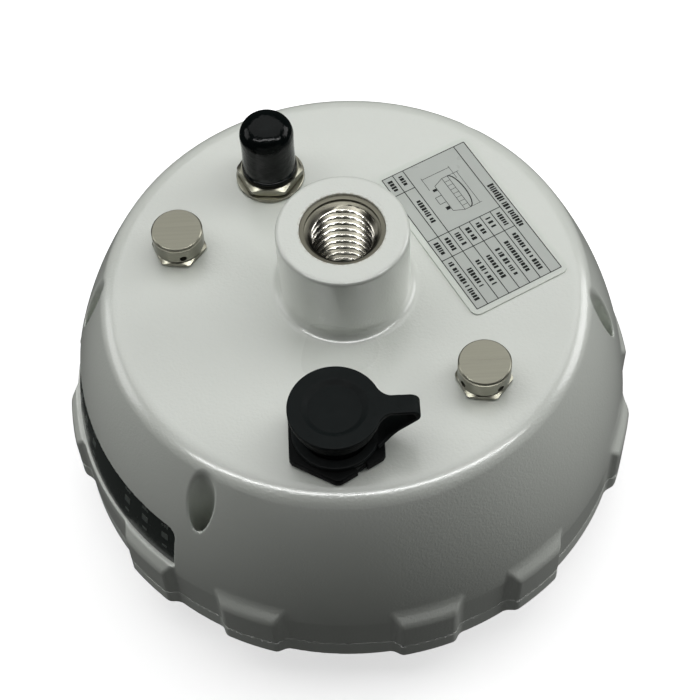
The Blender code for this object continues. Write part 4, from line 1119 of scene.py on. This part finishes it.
def make_vent(side):
    axis = (VENTS[side][0] + VENT_SHIFT[0], VENTS[side][1] + VENT_SHIFT[1])
    low, high = node_box(f"{side}_vent_body")
    neck_top, neck_foot = high.z - VENT_DROP, VENT_HEX_TOP - 0.8
    bore, neck, shank = VENT_BORE_RADIUS, VENT_NECK_RADIUS, VENT_SHANK_RADIUS
    size = (VENT_FLATS, FACE_Z + 0.1, VENT_HEX_TOP, bore)
    base = hex_solid(f"{side}_vent_hex", axis, *size, VENT_HEX_TURN, 0.25, 0.975)
    profile = [(bore, neck_top), (neck, neck_top), (neck, neck_foot), (bore + 0.2, neck_foot)]
    profile += [(bore + 0.2, FACE_Z), (shank, FACE_Z), (shank, low.z), (bore, low.z)]
    neck = lathe(f"{side}_vent_neck", profile, axis, 48)
    body = join_objects(f"{side}_vent_plug", [base, neck])
    smooth(body.data, 25.0)
    finish_piece(body, "nickel", "receiver", f"{side}_vent_body")
    box = node_box(f"{side}_vent_cap")
    low, high = box[0].z - VENT_DROP, box[1].z - VENT_DROP
    outer = node_radius(f"{side}_vent_cap", axis)
    profile = [
        (0.0, high),
        (outer - 0.32, high),
        (outer - 0.06, high - 0.2),
        (outer, high - 0.3),
        (outer, high - 0.5),
        (outer - 0.22, high - 0.6),
        (outer - 0.22, high - 0.85),
        (outer, high - 0.95),
        (outer, low + 0.5),
        (outer - 0.25, low + 0.25),
        (VENT_CAP_BORE, low + 0.25),
        (VENT_CAP_BORE, high - VENT_CAP_WALL),
        (0.0, high - VENT_CAP_WALL),
    ]
    cap = lathe(f"{side}_vent_top", profile, axis, 96)
    drills = []
    for i in range(4):
        angle = radians(VENT_HOLE_TURNS[side] + 90.0 * i)
        out = Vector((sin(angle), -cos(angle), 0.0))
        start = Vector((axis[0], axis[1], low + 1.6)) * MM
        form = bmesh.new()
        size = {"radius1": VENT_HOLE_RADIUS * MM, "radius2": VENT_HOLE_RADIUS * MM, "depth": 4.0 * MM}
        bmesh.ops.create_cone(form, cap_ends=True, segments=24, **size)
        drill = object_from("drill", form)
        turned = out.to_track_quat("Z", "Y").to_matrix().to_4x4()
        drill.matrix_world = Matrix.Translation(start + out * outer * MM) @ turned
        drills.append(drill)
    carve(cap, drills)
    finish_piece(cap, "nickel", "receiver", f"{side}_vent_cap")


# Data port


DATA_FLANGE_REACH = 10.4  # from the axis to a flat
DATA_FLANGE_Z = (68.8, 71.0)
DATA_NOTCH_AZIMUTH = radians(31.0)
DATA_NOTCH_SIZE = (2.6, 1.6, 6.0)


def make_data_port():
    low, high = node_box("data_connector")
    flange_low, flange_high = DATA_FLANGE_Z
    steps = 144
    edge = hexagon(DATA_FLANGE_REACH, 0.0, 0.975)

    def flange(z, inset):
        return ring_at(DATA_AXIS, lambda angle: edge(angle) - inset, z, steps)

    def turned_ring(radius, z):
        return ring_at(DATA_AXIS, radius, z, steps)

    rings = [
        turned_ring(6.0, low.z),
        turned_ring(6.0, high.z - 0.3),
        turned_ring(6.3, high.z),
        turned_ring(6.9, high.z),
        turned_ring(7.2, high.z - 0.3),
        turned_ring(7.2, flange_high + 0.3),
        turned_ring(7.5, flange_high),
        flange(flange_high, 0.35),
        flange(flange_high - 0.1, 0.1),
        flange(flange_high - 0.35, 0.0),
        flange(flange_low + 0.2, 0.0),
        flange(flange_low, 0.2),
        turned_ring(10.0, flange_low),
        turned_ring(10.0, flange_low + 1.1),
        turned_ring(8.5, flange_low + 1.1),
        turned_ring(8.5, flange_low),
        turned_ring(7.9, flange_low - 0.1),
        turned_ring(7.9, low.z),
    ]
    socket = loft("data_socket", rings, True, 25.0)
    angle = DATA_NOTCH_AZIMUTH
    form = bmesh.new()
    bmesh.ops.create_cube(form, size=1.0)
    bmesh.ops.scale(form, verts=form.verts, vec=[side * MM for side in DATA_NOTCH_SIZE])
    notch = object_from("notch", form)
    x = DATA_AXIS[0] + DATA_FLANGE_REACH * sin(angle)
    y = DATA_AXIS[1] - DATA_FLANGE_REACH * cos(angle)
    notch.location = Vector((x, y, (flange_low + flange_high) / 2.0)) * MM
    notch.rotation_euler = (0.0, 0.0, angle)
    carve(socket, [notch])
    finish_piece(socket, "black_plastic", "receiver", "data_connector")
    low, high = node_box("strap_ring")
    outer = node_radius("strap_ring", DATA_AXIS)
    profile = [(7.5, high.z - 0.2), (7.5, low.z), (outer - 0.1, low.z)]
    profile += round_corner((outer - 0.35, high.z - 0.35), 0.35, 0.0, 90.0, 4)
    profile.append((7.7, high.z))
    ring = lathe("strap_collar", profile, DATA_AXIS)
    finish_piece(ring, "black_rubber", "receiver", "strap_ring")


CAP_LOW, CAP_HIGH = node_box("dust_cap")
HINGE = [joint for joint in frame["joints"] if joint["name"] == "dust_cap_flip"][0]["pos_m"]
HINGE_X = HINGE[0] / MM
CAP_RADIUS = 10.2
CAP_THICKNESS = 1.8
CAP_SKIRT_RADII = (7.9, 9.25)
CAP_STEP_HEAD = 7.2
CAP_STEP_FOOT = 5.9
CAP_STEP_DEPTH = 0.95
STRAP_THICKNESS = 1.1
STRAP_HALF_WIDTH = 2.3
STRAP_CORNER = 0.4
STRAP_BEND_RADIUS = 1.7
STRAP_TOP_Z = CAP_HIGH.z - STRAP_THICKNESS / 2.0 - 0.1


def dust_cap_distance(x, y, z):
    """A round cap with a sunk middle and a skirt, and a tongue whose neck flares into the rim."""
    r = np.hypot(x - DATA_AXIS[0], y - DATA_AXIS[1])
    disc = smooth_max(r - CAP_RADIUS, z - CAP_HIGH.z, 0.4)
    disc = smooth_max(disc, CAP_HIGH.z - CAP_THICKNESS - z, 0.25)
    tongue = smooth_max(np.abs(y - DATA_AXIS[1]) - STRAP_HALF_WIDTH, x - HINGE_X + 1.6, 0.3)
    tongue = smooth_max(tongue, DATA_AXIS[0] - x, 0.3)
    tongue = smooth_max(tongue, np.abs(z - STRAP_TOP_Z) - STRAP_THICKNESS / 2.0, 0.3)
    body = smooth_min(disc, tongue, 2.2)
    body = smooth_max(body, z - CAP_HIGH.z, 0.3)
    body = smooth_max(body, STRAP_TOP_Z - STRAP_THICKNESS / 2.0 - 0.3 - z, 0.2)
    skirt = smooth_max(r - CAP_SKIRT_RADII[1], CAP_LOW.z - z, 0.3)
    body = smooth_min(body, np.maximum(skirt, z - CAP_HIGH.z + 0.8), 0.25)
    floor = CAP_HIGH.z - CAP_STEP_DEPTH
    step = (r - CAP_STEP_FOOT) * 0.6 - (z - floor) * 0.8
    recess = np.maximum(np.maximum(r - CAP_STEP_HEAD, step), floor - z)
    body = smooth_max(body, -recess, 0.12)
    inside = np.maximum(r - CAP_SKIRT_RADII[0], z - CAP_HIGH.z + 1.9)
    return np.maximum(body, -inside)


def along_curve(knots, share):
    """A point on the Bezier curve that the knots shape."""
    while len(knots) > 1:
        knots = [tuple(p + (q - p) * share for p, q in zip(a, b)) for a, b in zip(knots, knots[1:])]
    return knots[0]


def strap_stations():
    """The free strap's centre line from the tongue to the ring: x, z and half the width."""
    centre = (HINGE_X, STRAP_TOP_Z - STRAP_BEND_RADIUS)
    line = [(HINGE_X - 2.4, STRAP_TOP_Z), (HINGE_X - 1.2, STRAP_TOP_Z)]
    line += round_corner(centre, STRAP_BEND_RADIUS, 90.0, -42.0, 14)
    stations = [(x, z, STRAP_HALF_WIDTH) for x, z in line]
    foot = node_box("strap_ring")[1].z - 0.55
    start = stations[-1]
    knots = [start[:2], (10.4, 75.6), (8.6, 73.7), (7.4, foot + 0.45), (5.4, foot)]
    for i in range(1, 17):
        x, z = along_curve(knots, i / 16.0)
        spread = max(0.0, i / 16.0 - 0.35) / 0.65
        stations.append((x, z, STRAP_HALF_WIDTH + 2.5 * spread**1.8))
    return stations


def make_strap():
    """The strap's free part, a flat rubber band with rounded edges."""
    stations = strap_stations()
    rings = []
    for i, (x, z, half) in enumerate(stations):
        before = stations[max(i - 1, 0)]
        after = stations[min(i + 1, len(stations) - 1)]
        along = Vector((after[0] - before[0], 0.0, after[1] - before[1])).normalized()
        up = Vector((0.0, 1.0, 0.0)).cross(along)
        section = rounded_rectangle(2.0 * half, STRAP_THICKNESS, STRAP_CORNER, 4)
        rings.append([tuple(Vector((x, DATA_AXIS[1] + py, z)) + up * pu) for py, pu in section])
    strap = loft("cap_tether", rings, False, 50.0)
    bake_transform(strap)
    finish_piece(strap, "black_rubber", None, "cap_strap")


def make_dust_cap():
    low = (CAP_LOW.x - 1.0, CAP_LOW.y - 1.0, CAP_LOW.z - 0.5)
    high = (CAP_HIGH.x + 1.0, CAP_HIGH.y + 1.0, CAP_HIGH.z + 0.5)
    cap = skin("dust_cover", dust_cap_distance, low, high, 0.2, 0.45)
    finish_piece(cap, "black_rubber", "dust_cap_body", "dust_cap")


# CAD pieces that stay


def paint_cad_nodes():
    slots = {part["node"]: part["material_slot"] for part in frame["record"]["subparts"]}
    for name, node in frame["nodes"].items():
        node.data.materials.clear()
        node.data.materials.append(MATERIALS[slots[name]])


# Floor, light and camera


CAMERA_DISTANCE = 438.14
CAMERA_ELEVATION = radians(57.31)
CAMERA_PAN = radians(0.0448)
CAMERA_TILT = radians(0.3396)
CAMERA_ROLL = radians(2.9705)
CAMERA_LENS = 93.94


def make_floor():
    mesh = bpy.data.meshes.new("floor")
    mesh.from_pydata([(-6, -6, 0), (6, -6, 0), (6, 6, 0), (-6, 6, 0)], [], [(0, 1, 2, 3)])
    floor = add_object("floor", mesh)
    floor.location.z = -0.0002
    material = new_material("floor", (0.82, 0.82, 0.82), 0.9)
    shader = shader_of(material)
    shader.inputs["Emission Color"].default_value = (1.0, 1.0, 1.0, 1.0)
    shader.inputs["Emission Strength"].default_value = 0.62
    shader.inputs["Specular IOR Level"].default_value = 0.0
    mesh.materials.append(material)
    floor.visible_diffuse = False
    floor.visible_glossy = False


def make_light(name, power, size, place, target=(0.0, 0.0, 0.05)):
    lamp = bpy.data.lights.new(name, "AREA")
    lamp.shape = "RECTANGLE"
    lamp.size, lamp.size_y = size
    lamp.energy = power
    obj = bpy.data.objects.new(name, lamp)
    bpy.context.scene.collection.objects.link(obj)
    obj.location = place
    aim = Vector(target) - Vector(place)
    obj.rotation_euler = aim.to_track_quat("-Z", "Y").to_euler()
    obj.visible_camera = False
    return obj


def make_lights():
    make_light("overhead", 14.0, (2.2, 1.3), (0.0, 0.4, 1.2))
    make_light("left_fill", 4.0, (0.8, 0.6), (-1.2, 0.35, 0.5))
    make_light("right_fill", 6.8, (0.8, 0.6), (1.2, 0.35, 0.5))
    make_light("table_bounce", 0.5, (1.2, 0.3), (0.0, -0.9, 0.03))
    tube = make_light("tube", 26.0, (3.0, 0.14), (0.0, -0.6, 1.2))
    tube.visible_diffuse = False
    world = bpy.data.worlds.new("studio")
    bpy.context.scene.world = world
    world.use_nodes = True
    world.node_tree.nodes["Background"].inputs["Color"].default_value = (0.93, 0.95, 0.93, 1.0)
    world.node_tree.nodes["Background"].inputs["Strength"].default_value = 0.03


def make_camera():
    data = bpy.data.cameras.new("camera")
    data.lens = CAMERA_LENS
    data.sensor_width = 36.0
    data.clip_start, data.clip_end = 0.01, 20.0
    camera = bpy.data.objects.new("camera", data)
    bpy.context.scene.collection.objects.link(camera)
    target = Vector((0.0, 0.0, TOTAL_HEIGHT / 2.0))
    back = Vector((0.0, -cos(CAMERA_ELEVATION), sin(CAMERA_ELEVATION)))
    camera.location = (target + back * CAMERA_DISTANCE) * MM
    aim = Euler((pi / 2.0 - CAMERA_ELEVATION, 0.0, 0.0)).to_matrix()
    pan = Matrix.Rotation(-CAMERA_PAN, 3, "Y")
    tilt = Matrix.Rotation(-CAMERA_TILT, 3, "X")
    roll = Matrix.Rotation(-CAMERA_ROLL, 3, "Z")
    camera.rotation_euler = (aim @ pan @ tilt @ roll).to_euler()
    bpy.context.scene.camera = camera


bpy.context.scene.view_settings.view_transform = "Standard"
make_camera()
paint_cad_nodes()
make_shells()
make_mouth_lip()
make_pole_thread()
make_window()
make_label()
make_antenna_port()
make_vent("left")
make_vent("right")
make_data_port()
make_dust_cap()
make_strap()
make_floor()
make_lights()
